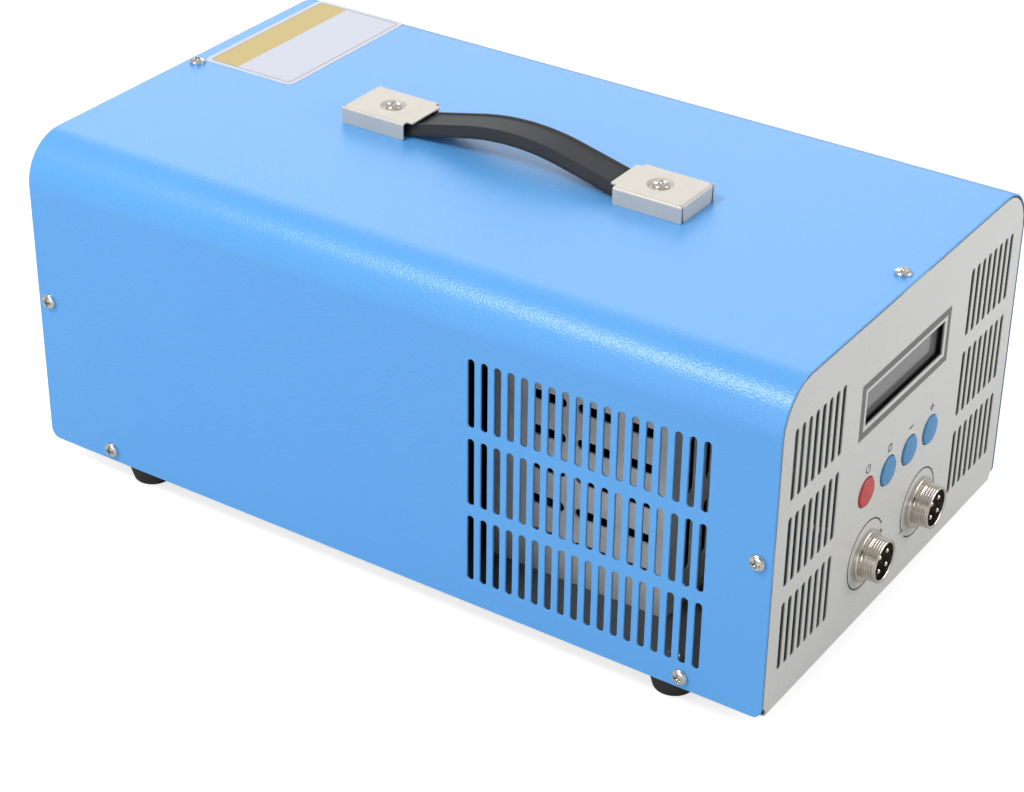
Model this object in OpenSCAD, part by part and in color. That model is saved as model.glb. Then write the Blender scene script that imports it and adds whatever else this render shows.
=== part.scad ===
// Bench battery capacity tester: folded steel case with a carrying strap, a display,
// four push buttons and two power sockets in front, a fan and a mains inlet behind.
// All sizes are in millimetres. The front faces -Y, up is +Z, the feet stand on Z = 0.

/* [Case] */
// Width over the cover
case_w = 205; // [198:1:240]
// Length of the cover, front edge to rear edge
case_l = 352; // [345:1:420]
// Height of the cover, lower edge to top
case_h = 141; // [137:1:180]
// Outer radius of the cover's two top bends
case_r = 20; // [12:1:26]
// Sheet thickness of the cover and the chassis
sheet_t = 1.2; // [0.8:0.1:1.6]
// Radius of the lower corners of the cover's side walls
skirt_r = 4.5; // [2:0.5:6]
// How far the front and rear panels stand back inside the cover
panel_inset = 0; // [0:0.1:3]
// Height of the chassis flanges behind the cover's lower edge
flange_h = 11; // [9.5:0.5:12]

/* [Side slots] */
// Slots in one row
side_cols = 18; // [6:1:18]
// Rows of slots
side_rows = 3; // [1:1:3]
// Distance from slot to slot
side_pitch = 6; // [5:0.1:6]
// Distance from row to row
side_row_pitch = 35; // [33:0.5:36]
// Width of a slot
side_slot_w = 3; // [2:0.1:3.6]
// Length of a slot
side_slot_l = 30; // [20:1:31]
// First slot's centre from the front edge
side_slot_y = 28.9; // [24:0.1:60]
// Lowest row's centre above the cover's lower edge
side_slot_z = 26.5; // [26:0.5:30]

/* [Front slots] */
// Slots in one row, on each side of the panel
front_cols = 8; // [3:1:8]
// Distance from slot to slot
front_pitch = 5.2; // [4:0.1:5.4]
// Distance from row to row
front_row_pitch = 37.3; // [33:0.1:38]
// Width of a slot
front_slot_w = 2.8; // [1.6:0.1:3]
// Length of a slot
front_slot_l = 30; // [20:1:31]
// Centre of each group of slots from the side of the case
front_slot_side = 29.8; // [29:0.1:31]
// Lowest row's centre above the cover's lower edge
front_slot_z = 31.7; // [28:0.1:33]

/* [Feet] */
// Height of a rubber foot
foot_h = 10; // [8:0.5:20]
// Diameter of a foot under the chassis
foot_top_d = 22; // [20:0.5:24]
// Diameter of a foot on the table
foot_bottom_d = 16.4; // [15:0.2:19]
// Foot's centre from the side of the case
foot_inset = 14; // [13.5:0.5:20]
// Foot's centre from the end of the case
foot_end = 45; // [30:1:60]

/* [Handle] */
// Width of a strap end cap
cap_w = 26; // [23:0.5:28]
// Length of a strap end cap
cap_l = 34; // [32:0.5:35]
// Height of a strap end cap
cap_h = 7.5; // [7.4:0.1:9]
// Centre of an end cap from the middle of the strap
cap_at = 64.5; // [64.5:0.5:66]
// Handle screw from the middle of the strap
handle_screw_at = 64.5; // [64:0.5:66]
// Thickness of the strap
strap_t = 5; // [4:0.2:5]
// Width of the strap on the case side
strap_w = 18; // [16:0.5:18.5]
// Width of the strap's flat top
strap_top_w = 14.4; // [10:0.2:14.6]
// Height of the strap's top over the case at the middle
strap_top_h = 14.5; // [12:0.5:15]

/* [Display] */
// Width of the window in the panel
window_w = 66; // [55:0.5:67]
// Height of the window in the panel
window_h = 15; // [12:0.1:15.6]
// Window's centre from the panel's middle
window_x = -1.2; // [-3:0.1:3]
// Window's centre above the cover's lower edge
window_z = 100.9; // [100:0.1:104]

/* [Buttons] */
// Diameter of a button cap
button_d = 12.4; // [10:0.1:13]
// Distance from button to button
button_pitch = 18.4; // [15:0.1:20]
// Middle of the button row from the panel's middle
button_x = 0.1; // [-3:0.1:3]
// Button row above the cover's lower edge
button_z = 61; // [58:0.1:66]
// How far a button stands out of the panel
button_out = 1.2; // [1:0.1:4]
// Travel of a button
button_travel = 0.5; // [0.3:0.1:0.9]

/* [Power sockets] */
// Thread diameter of a socket
socket_d = 18; // [16:0.5:19]
// How far a socket stands out of the panel
socket_reach = 8.8; // [8:0.1:12]
// Socket's centre from the panel's middle
socket_x = 22.9; // [18:0.1:30]
// Socket's centre above the cover's lower edge
socket_z = 29.7; // [26:0.1:34]

/* [Rear] */
// Size of the square rear fan
fan_size = 92; // [80:1:98]
// Depth of the rear fan
fan_depth = 25; // [23:1:28]
// Rear fan's centre from the side of the case
fan_side = 64.5; // [60:0.5:66]
// Rear fan's centre above the chassis floor
fan_z = 62; // [56:0.5:66]
// Mains inlet's centre from the other side of the case
inlet_side = 47.5; // [41:0.5:48]
// Mains inlet's centre above the chassis floor
inlet_z = 84; // [80:0.5:90]
// Signal socket's thread diameter
signal_d = 12; // [11.5:0.5:13]
// How far the signal socket stands out of the panel
signal_reach = 8.8; // [7:0.1:12]
// Signal socket's centre above the chassis floor
signal_z = 32; // [28:0.5:36]
// Swing of the mains switch from off to on
rocker_swing = 18; // [12:1:20]

/* [Supply module] */
// Width of the supply module
supply_w = 135; // [125:1:140]
// Length of the supply module
supply_l = 84; // [82:1:90]
// Height of the supply module
supply_h = 92; // [90:1:100]
// Front face of the supply module from the cover's front edge
supply_y = 62; // [60:1:64]
// Size of the supply module's fan
supply_fan = 80; // [76:1:84]

/* [Load module] */
// Width of the heat sink
sink_w = 120; // [110:1:130]
// Height of the heat sink's fins
sink_fin_h = 36; // [28:1:40]
// Space between the supply module and the heat sink
sink_gap = 16; // [14:1:30]
// Space between the heat sink and the rear fan
fan_gap = 23; // [15:1:40]

/* [Hidden] */
$fn = 96;

// Clearances
gap = 0.3;            // panel edge to cover, loose neighbours
run = 0.08;           // running fit, radial
near = 0.1;           // screw in a thread, pin in its core, radial
lap = 0.02;           // overlap that joins two stretches of one piece

// Places on the case. Heights count from the chassis underside, lengths from the cover's front edge
edge_z = sheet_t;
top_z = sheet_t + case_h;
in_top_z = case_h;
half_in = case_w / 2 - sheet_t;
panel_back = panel_inset + sheet_t;
front_out = socket_reach - panel_inset;
rear_out = signal_reach - panel_inset;
front_y = front_out - (case_l + front_out + rear_out) / 2;
bend_r = sheet_t + 0.8;
panel_corner_r = 4;
tab_l = 12;
front_slot_x = case_w / 2 - front_slot_side;
fan_x = fan_side - case_w / 2;
fan_y = case_l - panel_back - fan_depth;
inlet_x = case_w / 2 - inlet_side;
side_screw_low = [35, 5.5];
side_screw_mid = [6, 69];
top_screw_y = 6;

// Screws and nuts
m3_r = 1.5;
m4_r = 2;
head_d = 6.8;
head_h = 2.3;
nut_w = 7;
nut_h = 3.2;
small_head_d = 5.6;
small_head_h = 2;
small_nut_w = 5.5;
small_nut_h = 2.4;
display_screw_l = 7;
inlet_screw_out = 3;
inlet_pin_tail = 7;
pin_tail = 6;
pin_tip = 0.4;

// Display stack, from the panel's back face inwards
board_t = 1.6;
lcd_gap = 1.1;
lcd_y = panel_back + lcd_gap;
lcd_lip = 0.6;
lcd_wall = 1;
lcd_side = 6.4;
lcd_over = 10;
lcd_w = window_w + lcd_side;
lcd_h = window_h + lcd_over;
lcd_depth = 6.8;
glass_t = 1.1;
lcd_board_side = 15;
lcd_board_over = 12;
lcd_board_w = window_w + lcd_board_side;
lcd_board_h = lcd_h + lcd_board_over;
lcd_hole_in = 2.5;
header_w = 40.6;
header_in = 5;
header_t = 2.5;
drill = 40;
header_h = 2.4;
display_y = lcd_y + lcd_depth + board_t + header_h;
display_w = 100;
display_low = 48;
display_high = 125;
stud_x = 46.5;
stud_d = 6;
key_w = 12;
key_h = 3.3;
key_y = display_y - key_h;
plunger_r = 2;
stem_r = 3.4;

// Aviation style sockets
flange_extra = 2;
flange_t = 2;
socket_tail = 9;
pin_ring = 4.4;
pin_r = 1;
pin_in = 0.6;          // pin's tip below the mouth's edge
signal_x = inlet_x;
signal_ring = 2.9;
signal_pin_r = 0.5;

module at_case() translate([0, front_y, foot_h]) children();
module front_at(x, z) at_case() translate([x, panel_inset, z]) rotate([90, 0, 0]) children();
module rear_at(x, z) at_case() translate([x, case_l - panel_inset, z]) rotate([90, 0, 180]) children();
module along_y(y0, y1) translate([0, y1, 0]) rotate([90, 0, 0]) linear_extrude(y1 - y0) children();
module along_x(x0, x1) translate([x0, 0, 0]) rotate([90, 0, 90]) linear_extrude(x1 - x0) children();
module box(lo, hi) translate(lo) cube(hi - lo);
module ends() for (s = [0, 1]) translate([0, s * case_l, 0]) mirror([0, s, 0]) children();
module sides() for (s = [0, 1]) mirror([s, 0, 0]) children();

// Outline of a sheet bent over at both top edges
module arch2d(w, h, r) {
  translate([-w / 2, 0]) square([w, h - r]);
  translate([-w / 2 + r, 0]) square([w - 2 * r, h]);
  for (s = [-1, 1]) translate([s * (w / 2 - r), h - r]) circle(r);
}
// Outline of a tray bent up at both lower edges
module tray2d(y0, y1, h, r) {
  translate([y0, r]) square([y1 - y0, h - r]);
  translate([y0 + r, 0]) square([y1 - y0 - 2 * r, h]);
  for (y = [y0 + r, y1 - r]) translate([y, r]) circle(r);
}
module round2d(w, h, r) {
  square([w - 2 * r, h], center = true);
  square([w, h - 2 * r], center = true);
  for (sx = [-1, 1], sy = [-1, 1]) translate([sx * (w / 2 - r), sy * (h / 2 - r)]) circle(r);
}
module slot2d(w, l) {
  square([w, l - w], center = true);
  for (s = [-1, 1]) translate([0, s * (l - w) / 2]) circle(d = w);
}
module corner2d(r) difference() {
  translate([-1, -1]) square(r + 1);
  translate([r, r]) circle(r);
}

// Pan head screw: the head stands on Z = 0, the shank goes down
module screw(r, len, hd = head_d, hh = head_h) {
  s = hh * 0.62;
  big = (hd * hd / 4 + s * s) / (2 * s);
  rotate_extrude() intersection() {
    translate([0, hh - big]) circle(big);
    square([hd / 2, hh]);
  }
  translate([0, 0, -len]) cylinder(r1 = r - 0.4, r2 = r, h = 0.4);
  translate([0, 0, -len + 0.4]) cylinder(r = r, h = len - 0.2);
}
module nut(r, w, h) difference() {
  cylinder(d = w / cos(30), h = h, $fn = 6);
  translate([0, 0, -1]) cylinder(r = r + near, h = h + 2);
}

// Cover: one sheet bent over the chassis, slots and screw holes punched
module cover() color("#62aaea") at_case() difference() {
  translate([0, 0, edge_z]) along_y(0, case_l) difference() {
    arch2d(case_w, case_h, case_r);
    translate([0, -1]) arch2d(2 * half_in, case_h - sheet_t + 1, case_r - sheet_t);
  }
  along_x(-case_w / 2 - 1, case_w / 2 + 1) translate([0, edge_z]) {
    for (i = [0 : side_cols - 1], j = [0 : side_rows - 1])
      translate([side_slot_y + i * side_pitch, side_slot_z + j * side_row_pitch])
        slot2d(side_slot_w, side_slot_l);
    for (p = [side_screw_low, side_screw_mid]) {
      translate(p) circle(m3_r + gap);
      translate([case_l - p[0], p[1]]) circle(m3_r + gap);
    }
    corner2d(skirt_r);
    translate([case_l, 0]) mirror([1, 0]) corner2d(skirt_r);
  }
  translate([0, 0, in_top_z - 1]) linear_extrude(sheet_t + 2) {
    for (y = [top_screw_y, case_l - top_screw_y]) translate([0, y]) circle(m3_r + gap);
    for (s = [-1, 1]) translate([0, case_l / 2 + s * handle_screw_at]) circle(m4_r + gap);
  }
}

// Chassis: floor, front panel and rear panel folded from one sheet, with side flanges and tabs
module chassis() color("#c9c9c6") at_case() difference() {
  union() {
    intersection() {
      along_x(-half_in, half_in) difference() {
        tray2d(panel_inset, case_l - panel_inset, case_h + 5, bend_r);
        translate([0, sheet_t]) tray2d(panel_back, case_l - panel_back, case_h + 5, bend_r - sheet_t);
      }
      along_y(0, case_l) {
        arch2d(2 * (half_in - gap), in_top_z - gap, case_r - sheet_t - gap);
        translate([-half_in, 0]) square([2 * half_in, sheet_t]);
      }
    }
    sides() box([half_in - sheet_t, 14, 0], [half_in, case_l - 14, flange_h]);
    ends() {
      box([-12, panel_inset, in_top_z - sheet_t], [12, panel_inset + tab_l, in_top_z]);
      sides() box([half_in - sheet_t, panel_inset, edge_z + side_screw_mid[1] - 9],
        [half_in, panel_inset + tab_l, edge_z + side_screw_mid[1] + 9]);
    }
  }
  // rounded lower corners of both panels, and the bends of the side flanges
  ends() sides() along_y(-1, panel_inset + bend_r + 1)
    translate([half_in, 0]) mirror([1, 0]) corner2d(panel_corner_r);
  sides() along_y(14, case_l - 14) translate([half_in, 0]) mirror([1, 0]) corner2d(bend_r);
  // screw holes
  along_x(-case_w, case_w) translate([0, edge_z]) for (p = [side_screw_low, side_screw_mid]) {
    translate(p) circle(m3_r);
    translate([case_l - p[0], p[1]]) circle(m3_r);
  }
  for (y = [top_screw_y, case_l - top_screw_y])
    translate([0, y, in_top_z - sheet_t - 1]) cylinder(r = m3_r, h = sheet_t + 2);
  foot_places() translate([0, 0, -1]) cylinder(r = m4_r + gap, h = sheet_t + 2);
  // front panel
  along_y(-1, panel_back + 0.5) translate([0, edge_z]) {
    for (s = [-1, 1], i = [0 : front_cols - 1], j = [0 : 2])
      translate([s * front_slot_x + (i - (front_cols - 1) / 2) * front_pitch,
          front_slot_z + j * front_row_pitch])
        slot2d(front_slot_w, front_slot_l);
    translate([window_x, window_z]) square([window_w, window_h], center = true);
    for (i = [0 : 3]) translate([button_x + (i - 1.5) * button_pitch, button_z])
      circle(d = button_d + 2 * gap);
    for (s = [-1, 1]) translate([s * socket_x, socket_z]) circle(d = socket_d + gap);
  }
  // rear panel
  along_y(case_l - panel_back - 0.5, case_l + 1) {
    translate([fan_x, fan_z]) {
      circle(d = fan_size - 5);
      for (sx = [-1, 1], sy = [-1, 1]) translate([sx, sy] * fan_hole(fan_size)) circle(m4_r + gap);
    }
    translate([inlet_x, inlet_z]) {
      square([inlet_w + 2 * gap, inlet_h + 2 * gap], center = true);
      for (s = [-1, 1]) translate([s * inlet_screw_x, 0]) circle(m3_r + gap);
    }
    translate([signal_x, signal_z]) circle(d = signal_d + gap);
  }
}

module foot_places() for (sx = [-1, 1], y = [foot_end, case_l - foot_end])
  translate([sx * (case_w / 2 - foot_inset), y, 0]) children();

// Rubber feet with a recess for the screw's head
foot_seat = foot_h - 5.5;
module feet() color("#232323") at_case() foot_places() translate([0, 0, -foot_h]) rotate_extrude()
  polygon([[m4_r + gap, foot_seat], [head_d / 2 + 0.6, foot_seat], [head_d / 2 + 0.6, 0],
    [foot_bottom_d / 2 - 0.8, 0], [foot_bottom_d / 2, 0.8], [foot_top_d / 2, foot_h],
    [m4_r + gap, foot_h]]);
module foot_screws() color("#b9b9b5") at_case() foot_places() translate([0, 0, foot_seat - foot_h])
  rotate([180, 0, 0]) screw(m4_r, foot_h - foot_seat + sheet_t + nut_h + 0.8);

// Case screws: four in each side, two in the top
module case_screws() color("#c8c8c4") at_case() {
  sides() ends() for (p = [side_screw_low, side_screw_mid])
    translate([case_w / 2, p[0], edge_z + p[1]]) rotate([0, 90, 0]) screw(m3_r - near, 2 * sheet_t + 3.6);
  for (y = [top_screw_y, case_l - top_screw_y])
    translate([0, y, top_z]) screw(m3_r - near, 2 * sheet_t + 3.6);
}

// Handle strap: flat ends under the caps, two straight slopes and a round crown
strap_rise = strap_top_h - strap_t;
strap_rest = 9.7;       // flat length of the strap under a cap, from the cap's open end
strap_foot = cap_at - cap_l / 2 + strap_rest;
strap_end = cap_at + cap_l / 2 - 3.2;
crown_r = 100;
heel_r = 45;
arcs_r = crown_r + heel_r;
arcs_h = arcs_r - strap_rise;
strap_a = asin(arcs_r / sqrt(strap_foot * strap_foot + arcs_h * arcs_h)) - atan2(arcs_h, strap_foot);
slope_l = (strap_foot - arcs_r * sin(strap_a)) / cos(strap_a);
module strap2d() polygon([[-strap_w / 2, 0], [strap_w / 2, 0], [strap_w / 2, 1.4],
  [strap_top_w / 2, strap_t],
  [-strap_top_w / 2, strap_t], [-strap_w / 2, 1.4]]);
module half_strap() {
  along_y(strap_foot - lap, strap_end) strap2d();
  translate([0, strap_foot, heel_r]) rotate([0, 90, 0]) rotate([0, 0, -strap_a])
    rotate_extrude(angle = strap_a)
    translate([heel_r, 0]) rotate(90) strap2d();
  translate([0, crown_r * sin(strap_a), strap_rise - crown_r * (1 - cos(strap_a))]) rotate([-strap_a, 0, 0])
    along_y(-lap, slope_l + lap) strap2d();
}
module strap() color("#474747") at_case() translate([0, case_l / 2, top_z]) difference() {
  union() {
    half_strap();
    mirror([0, 1, 0]) half_strap();
    translate([0, 0, strap_rise - crown_r]) rotate([0, 90, 0]) rotate([0, 0, 180 - strap_a])
      rotate_extrude(angle = 2 * strap_a) translate([crown_r, 0]) rotate(-90) strap2d();
  }
  for (s = [-1, 1]) translate([0, s * handle_screw_at, -1])
    linear_extrude(strap_t + 2) slot2d(2 * m4_r + 0.8, 9);
}

// End caps: folded nickel plated sheet, open towards the strap, dished under the screw
cap_t = 0.8;
cap_fold = 1.2;
cap_tongue = 2.8;
tongue_in = 3;
dish_r = 7;
dish_seat = 4;
dish_h = 1.2;
module end_cap() color("#cfcdc8") difference() {
  union() {
    difference() {
      along_y(-cap_l / 2, cap_l / 2) arch2d(cap_w, cap_h, cap_fold);
      translate([0, 0, -1]) along_y(-cap_l / 2 - 1, cap_l / 2 - cap_t)
        arch2d(cap_w - 2 * cap_t, cap_h - cap_t + 1, cap_fold - cap_t);
      sides() box([cap_w / 2 - tongue_in, -cap_l / 2 - 1, -1],
        [cap_w / 2 + 1, -cap_l / 2 + cap_tongue, cap_h + 1]);
      sides() box([cap_w / 2 - cap_t - 0.5, cap_l / 2 - cap_t - 1, -1],
        [cap_w / 2 - cap_t, cap_l / 2 + 1, cap_h - cap_fold]);
      translate([0, handle_screw_at - cap_at, -1]) cylinder(r = dish_r, h = cap_h + 2);
    }
    translate([0, handle_screw_at - cap_at, cap_h]) rotate_extrude() polygon([[1, -dish_h],
      [dish_seat, -dish_h], [dish_r, 0], [dish_r + lap, 0], [dish_r + lap, -cap_t], [dish_r, -cap_t],
      [dish_seat, -dish_h - cap_t], [1, -dish_h - cap_t]]);
  }
  translate([0, handle_screw_at - cap_at, -1]) cylinder(r = m4_r + gap, h = cap_h + 2);
}
module cap_rear() at_case() translate([0, case_l / 2 + cap_at, top_z]) end_cap();
module cap_front() at_case() translate([0, case_l / 2 - cap_at, top_z]) mirror([0, 1, 0]) end_cap();
module handle_screws() color("#c8c8c4") at_case() for (s = [-1, 1])
  translate([0, case_l / 2 + s * handle_screw_at, top_z + cap_h - dish_h])
    screw(m4_r, cap_h - dish_h + sheet_t + nut_h + 0.8);
// The nuts of the feet and of the handle are alike
module nuts() color("#b9b9b5") at_case() {
  foot_places() translate([0, 0, sheet_t]) nut(m4_r, nut_w, nut_h);
  for (s = [-1, 1]) translate([0, case_l / 2 + s * handle_screw_at, in_top_z - nut_h])
    nut(m4_r, nut_w, nut_h);
}

// Display module: steel frame, glass, backlight and its own board on a header
module lcd_box(w, h, y0, y1) box([window_x - w / 2, y0, edge_z + window_z - h / 2],
  [window_x + w / 2, y1, edge_z + window_z + h / 2]);
module lcd_frame() color("#151515") at_case() difference() {
  lcd_box(lcd_w, lcd_h, lcd_y, lcd_y + lcd_depth);
  lcd_box(lcd_w - 2 * lcd_wall, lcd_h - 2 * lcd_wall, lcd_y + lcd_lip, lcd_y + lcd_depth + 1);
  lcd_box(window_w - 0.4, window_h - 0.4, lcd_y - 1, lcd_y + lcd_depth);
}
module lcd_glass() color("#757273") at_case()
  lcd_box(lcd_w - 2 * lcd_wall - 0.2, lcd_h - 2 * lcd_wall - 0.2,
    lcd_y + lcd_lip, lcd_y + lcd_lip + glass_t);
module lcd_backlight() color("#e8e8e0") at_case()
  lcd_box(lcd_w - 2 * lcd_wall - 0.2, lcd_h - 2 * lcd_wall - 0.2,
    lcd_y + lcd_lip + glass_t, lcd_y + lcd_depth);
module lcd_board() color("#20603a") at_case() difference() {
  lcd_box(lcd_board_w, lcd_board_h, lcd_y + lcd_depth, lcd_y + lcd_depth + board_t);
  for (sx = [-1, 1], sz = [-1, 1]) translate([window_x + sx * (lcd_board_w / 2 - lcd_hole_in), 0,
    edge_z + window_z + sz * (lcd_board_h / 2 - lcd_hole_in)]) rotate([-90, 0, 0])
      cylinder(r = 1.2, h = drill);
}
module lcd_header() color("#1a1a1a") at_case()
  box([window_x + 0.3 - header_w / 2, lcd_y + lcd_depth + board_t,
      edge_z + window_z + lcd_board_h / 2 - header_in],
    [window_x + 0.3 + header_w / 2, display_y,
      edge_z + window_z + lcd_board_h / 2 - header_in + header_t]);

module stud_places() for (sx = [-1, 1], z = [display_low + 4, display_high - 3.5])
  translate([sx * stud_x, 0, edge_z + z]) children();
module display_board() color("#20603a") at_case() difference() {
  box([-display_w / 2, display_y, edge_z + display_low],
    [display_w / 2, display_y + board_t, edge_z + display_high]);
  stud_places() rotate([-90, 0, 0]) cylinder(r = m3_r + gap, h = drill);
}
module display_studs() color("#b9b9b5") at_case() stud_places() translate([0, panel_back, 0])
  rotate([-90, 0, 0]) difference() {
    cylinder(d = stud_d, h = display_y - panel_back);
    translate([0, 0, 2]) cylinder(r = m3_r, h = drill);
  }
module display_screws() color("#b9b9b5") at_case() stud_places() translate([0, display_y + board_t, 0])
  rotate([-90, 0, 0]) screw(m3_r - near, display_screw_l, small_head_d, small_head_h);

// Key switches behind the buttons
module button_places(i) at_case()
  translate([button_x + (i - 1.5) * button_pitch, 0, edge_z + button_z]) children();
module key_switches() color("#1c1c1c") for (i = [0 : 3]) button_places(i) difference() {
  box([-key_w / 2, key_y, -key_w / 2], [key_w / 2, display_y, key_w / 2]);
  translate([0, key_y - 1, 0]) rotate([-90, 0, 0]) cylinder(r = plunger_r + run, h = key_h + 0.6);
}
// Button cap with its stem and the plunger that goes into the switch
button_dome = 0.6;
module button(i) {
  a = button_d / 2;
  big = (a * a + button_dome * button_dome) / (2 * button_dome);
  button_places(i) translate([0, panel_inset - button_out, 0]) rotate([-90, 0, 0]) {
    rotate_extrude() intersection() {
      translate([0, big]) circle(big);
      square([a, button_out + sheet_t + 2.4]);
    }
    translate([0, 0, button_out + sheet_t + 2])
      cylinder(r = stem_r, h = key_y - button_travel - 0.05 - (panel_back + 2));
    translate([0, 0, button_out + sheet_t + 2]) cylinder(r = plunger_r, h = key_y + 1.7 - (panel_back + 2));
  }
}
module button_on() color("#c8434b") button(0);
module button_set() color("#4f8fc8") button(1);
module button_minus() color("#4f8fc8") button(2);
module button_plus() color("#4f8fc8") button(3);

// Round threaded socket: shell, moulded core and pins, standing out along its own Z
module shell(d, reach) {
  r = d / 2;
  b = r - 1.3;
  difference() {
    rotate_extrude() polygon([[b - 1.1, -socket_tail], [b - 1.1, -6], [b, -6], [b, reach - 0.4],
      [b + 0.4, reach], [r - 0.3, reach], [r, reach - 0.3], [r, 3.4], [r - 0.3, 3.4], [r - 0.3, flange_t],
      [r + flange_extra - 0.3, flange_t],
      [r + flange_extra, flange_t - 0.3], [r + flange_extra, 0], [r - 0.1, 0], [r - 0.1, -socket_tail]]);
    box([-b - 0.7, -0.9, 3.2], [-b + 1, 0.9, reach + 1]);
  }
}
module core(d, ring, pr) {
  b = d / 2 - 1.3;
  difference() {
    rotate_extrude() polygon([[0, -socket_tail - 3], [b - 1.1 - near, -socket_tail - 3],
      [b - 1.1 - near, -6],
      [b - near, -6], [b - near, 3.2], [0, 3.2]]);
    pin_places(ring) translate([0, 0, -socket_tail - 4]) cylinder(r = pr + near / 2, h = 30);
  }
}
module pin_places(ring) for (a = [45 : 90 : 315]) rotate(a) translate([ring, 0, 0]) children();
module pins(ring, pr, tip) pin_places(ring) {
  translate([0, 0, -socket_tail - pin_tail])
    cylinder(r = pr, h = socket_tail + pin_tail + tip - pin_tip);
  translate([0, 0, tip - pin_tip]) cylinder(r1 = pr, r2 = pr - pin_tip, h = pin_tip);
  // shoulder behind the core keeps the pin in
  translate([0, 0, -socket_tail - 4]) cylinder(r = pr + 0.4, h = 1);
}
module socket_places() for (s = [-1, 1]) front_at(s * socket_x, edge_z + socket_z) children();
module socket_left() color("#c4c0ba") front_at(-socket_x, edge_z + socket_z) shell(socket_d, socket_reach);
module socket_right() color("#c4c0ba") front_at(socket_x, edge_z + socket_z) shell(socket_d, socket_reach);
module socket_cores() color("#191919") socket_places() core(socket_d, pin_ring, pin_r);
module socket_pins() color("#d8cfb8") socket_places() pins(pin_ring, pin_r, socket_reach - pin_in);
module socket_nuts() color("#b9b9b5") socket_places() translate([0, 0, -sheet_t - 3])
  nut(socket_d / 2 - 0.1, socket_d + 3, 3);
module signal_socket() color("#c4c0ba") rear_at(signal_x, signal_z) shell(signal_d, signal_reach);
module signal_core() color("#191919") rear_at(signal_x, signal_z) core(signal_d, signal_ring, signal_pin_r);
module signal_pins() color("#d8cfb8") rear_at(signal_x, signal_z)
  pins(signal_ring, signal_pin_r, signal_reach - pin_in);
module signal_nut() color("#b9b9b5") rear_at(signal_x, signal_z) translate([0, 0, -sheet_t - 2.5])
  nut(signal_d / 2 - 0.1, signal_d + 3, 2.5);

// Fans. The axis is Z, air leaves at the top, where the hub is held
hub_r = 19;
cup_r = 16.6;
rotor_low = 1;
fan_screw_l = 14;
supply_screw_l = 12;
function fan_hole(size) = size * 0.4484;
function fan_bore(size) = size / 2 - 1.8;
module fan_body(size, depth) {
  difference() {
    linear_extrude(depth) difference() {
      round2d(size, size, 4);
      circle(r = fan_bore(size));
      for (sx = [-1, 1], sy = [-1, 1]) translate([sx, sy] * fan_hole(size)) circle(r = m4_r + 0.15);
    }
    // waist between the two flanges
    translate([0, 0, 4]) linear_extrude(depth - 8) difference() {
      square(size + 2, center = true);
      circle(r = size / 2 + 0.6);
    }
  }
  difference() {
    union() {
      translate([0, 0, depth - 2.5]) cylinder(r = hub_r, h = 2.5);
      for (a = [30, 120, 210, 300]) rotate(a)
        box([hub_r - 1, -2, depth - 2.5], [fan_bore(size) + 0.8, 2, depth]);
      translate([0, 0, 6]) cylinder(r = 14, h = depth - 7.5);
    }
    translate([0, 0, 5]) cylinder(r = axle_r + run, h = depth - 6.5);
  }
}
axle_r = 1.5;
module rotor(size, depth) {
  top = depth - 4;
  tip = fan_bore(size) - 1.5;
  difference() {
    translate([0, 0, rotor_low]) cylinder(r = hub_r, h = top - rotor_low);
    translate([0, 0, rotor_low + 2]) cylinder(r = cup_r, h = depth);
  }
  translate([0, 0, rotor_low + 1]) cylinder(r = axle_r, h = top - rotor_low - 1);
  intersection() {
    for (i = [0 : 6]) rotate(i * 360 / 7) translate([(cup_r + 1 + tip + 2) / 2, 0, (rotor_low + top) / 2])
      rotate([42, 0, 0]) cube([tip + 1 - cup_r, 1.6, 30], center = true);
    difference() {
      translate([0, 0, rotor_low + 1]) cylinder(r = tip, h = top - rotor_low - 1.5);
      translate([0, 0, -1]) cylinder(r = cup_r + 1, h = depth);
    }
  }
}
module rear_fan_place() at_case()
  translate([fan_x, fan_y, fan_z]) rotate([-90, 0, 0]) children();
module supply_fan_place() at_case()
  translate([0, supply_y + supply_l - supply_t - fan_depth, supply_mid]) rotate([-90, 0, 0]) children();
module fan_frame() color("#1d1d1d") rear_fan_place() fan_body(fan_size, fan_depth);
module fan_rotor() color("#262626") rear_fan_place() rotor(fan_size, fan_depth);
module supply_fan_frame() color("#1d1d1d") supply_fan_place() fan_body(supply_fan, fan_depth);
module supply_rotor() color("#262626") supply_fan_place() rotor(supply_fan, fan_depth);
module corner_places(size) for (sx = [-1, 1], sy = [-1, 1])
  translate([sx * fan_hole(size), sy * fan_hole(size), 0]) children();
module fan_screws() color("#b9b9b5") {
  rear_fan_place() corner_places(fan_size)
  translate([0, 0, fan_depth + sheet_t + 2 * wire_r + 2 * wire_seat])
    screw(m4_r, fan_screw_l, 7, 2.2);
  supply_fan_place() corner_places(supply_fan) translate([0, 0, fan_depth + supply_t])
    screw(m4_r, supply_screw_l, 7, 2.2);
}

// Finger guard: rings on four straight wires with an eye at each corner
wire_r = 0.8;
wire_seat = 0.05;
module ring(r) rotate_extrude() translate([r, 0]) circle(wire_r);
module fan_guard() color("#c4c4c0") rear_fan_place()
  translate([0, 0, fan_depth + sheet_t + wire_r + wire_seat]) {
  far = fan_hole(fan_size) * sqrt(2);
  eye = 3.3;
  for (a = [45 : 90 : 315]) rotate(a) {
    translate([8, 0, 0]) rotate([0, 90, 0]) cylinder(r = wire_r, h = far - eye - 8);
    translate([far, 0, 0]) ring(eye);
  }
  ring(8.4);
  for (r = [17, 26, 35]) translate([0, 0, wire_r * 1.5]) ring(r);
  translate([0, 0, wire_r * 1.5]) ring(fan_size / 2 - 2);
}

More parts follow.
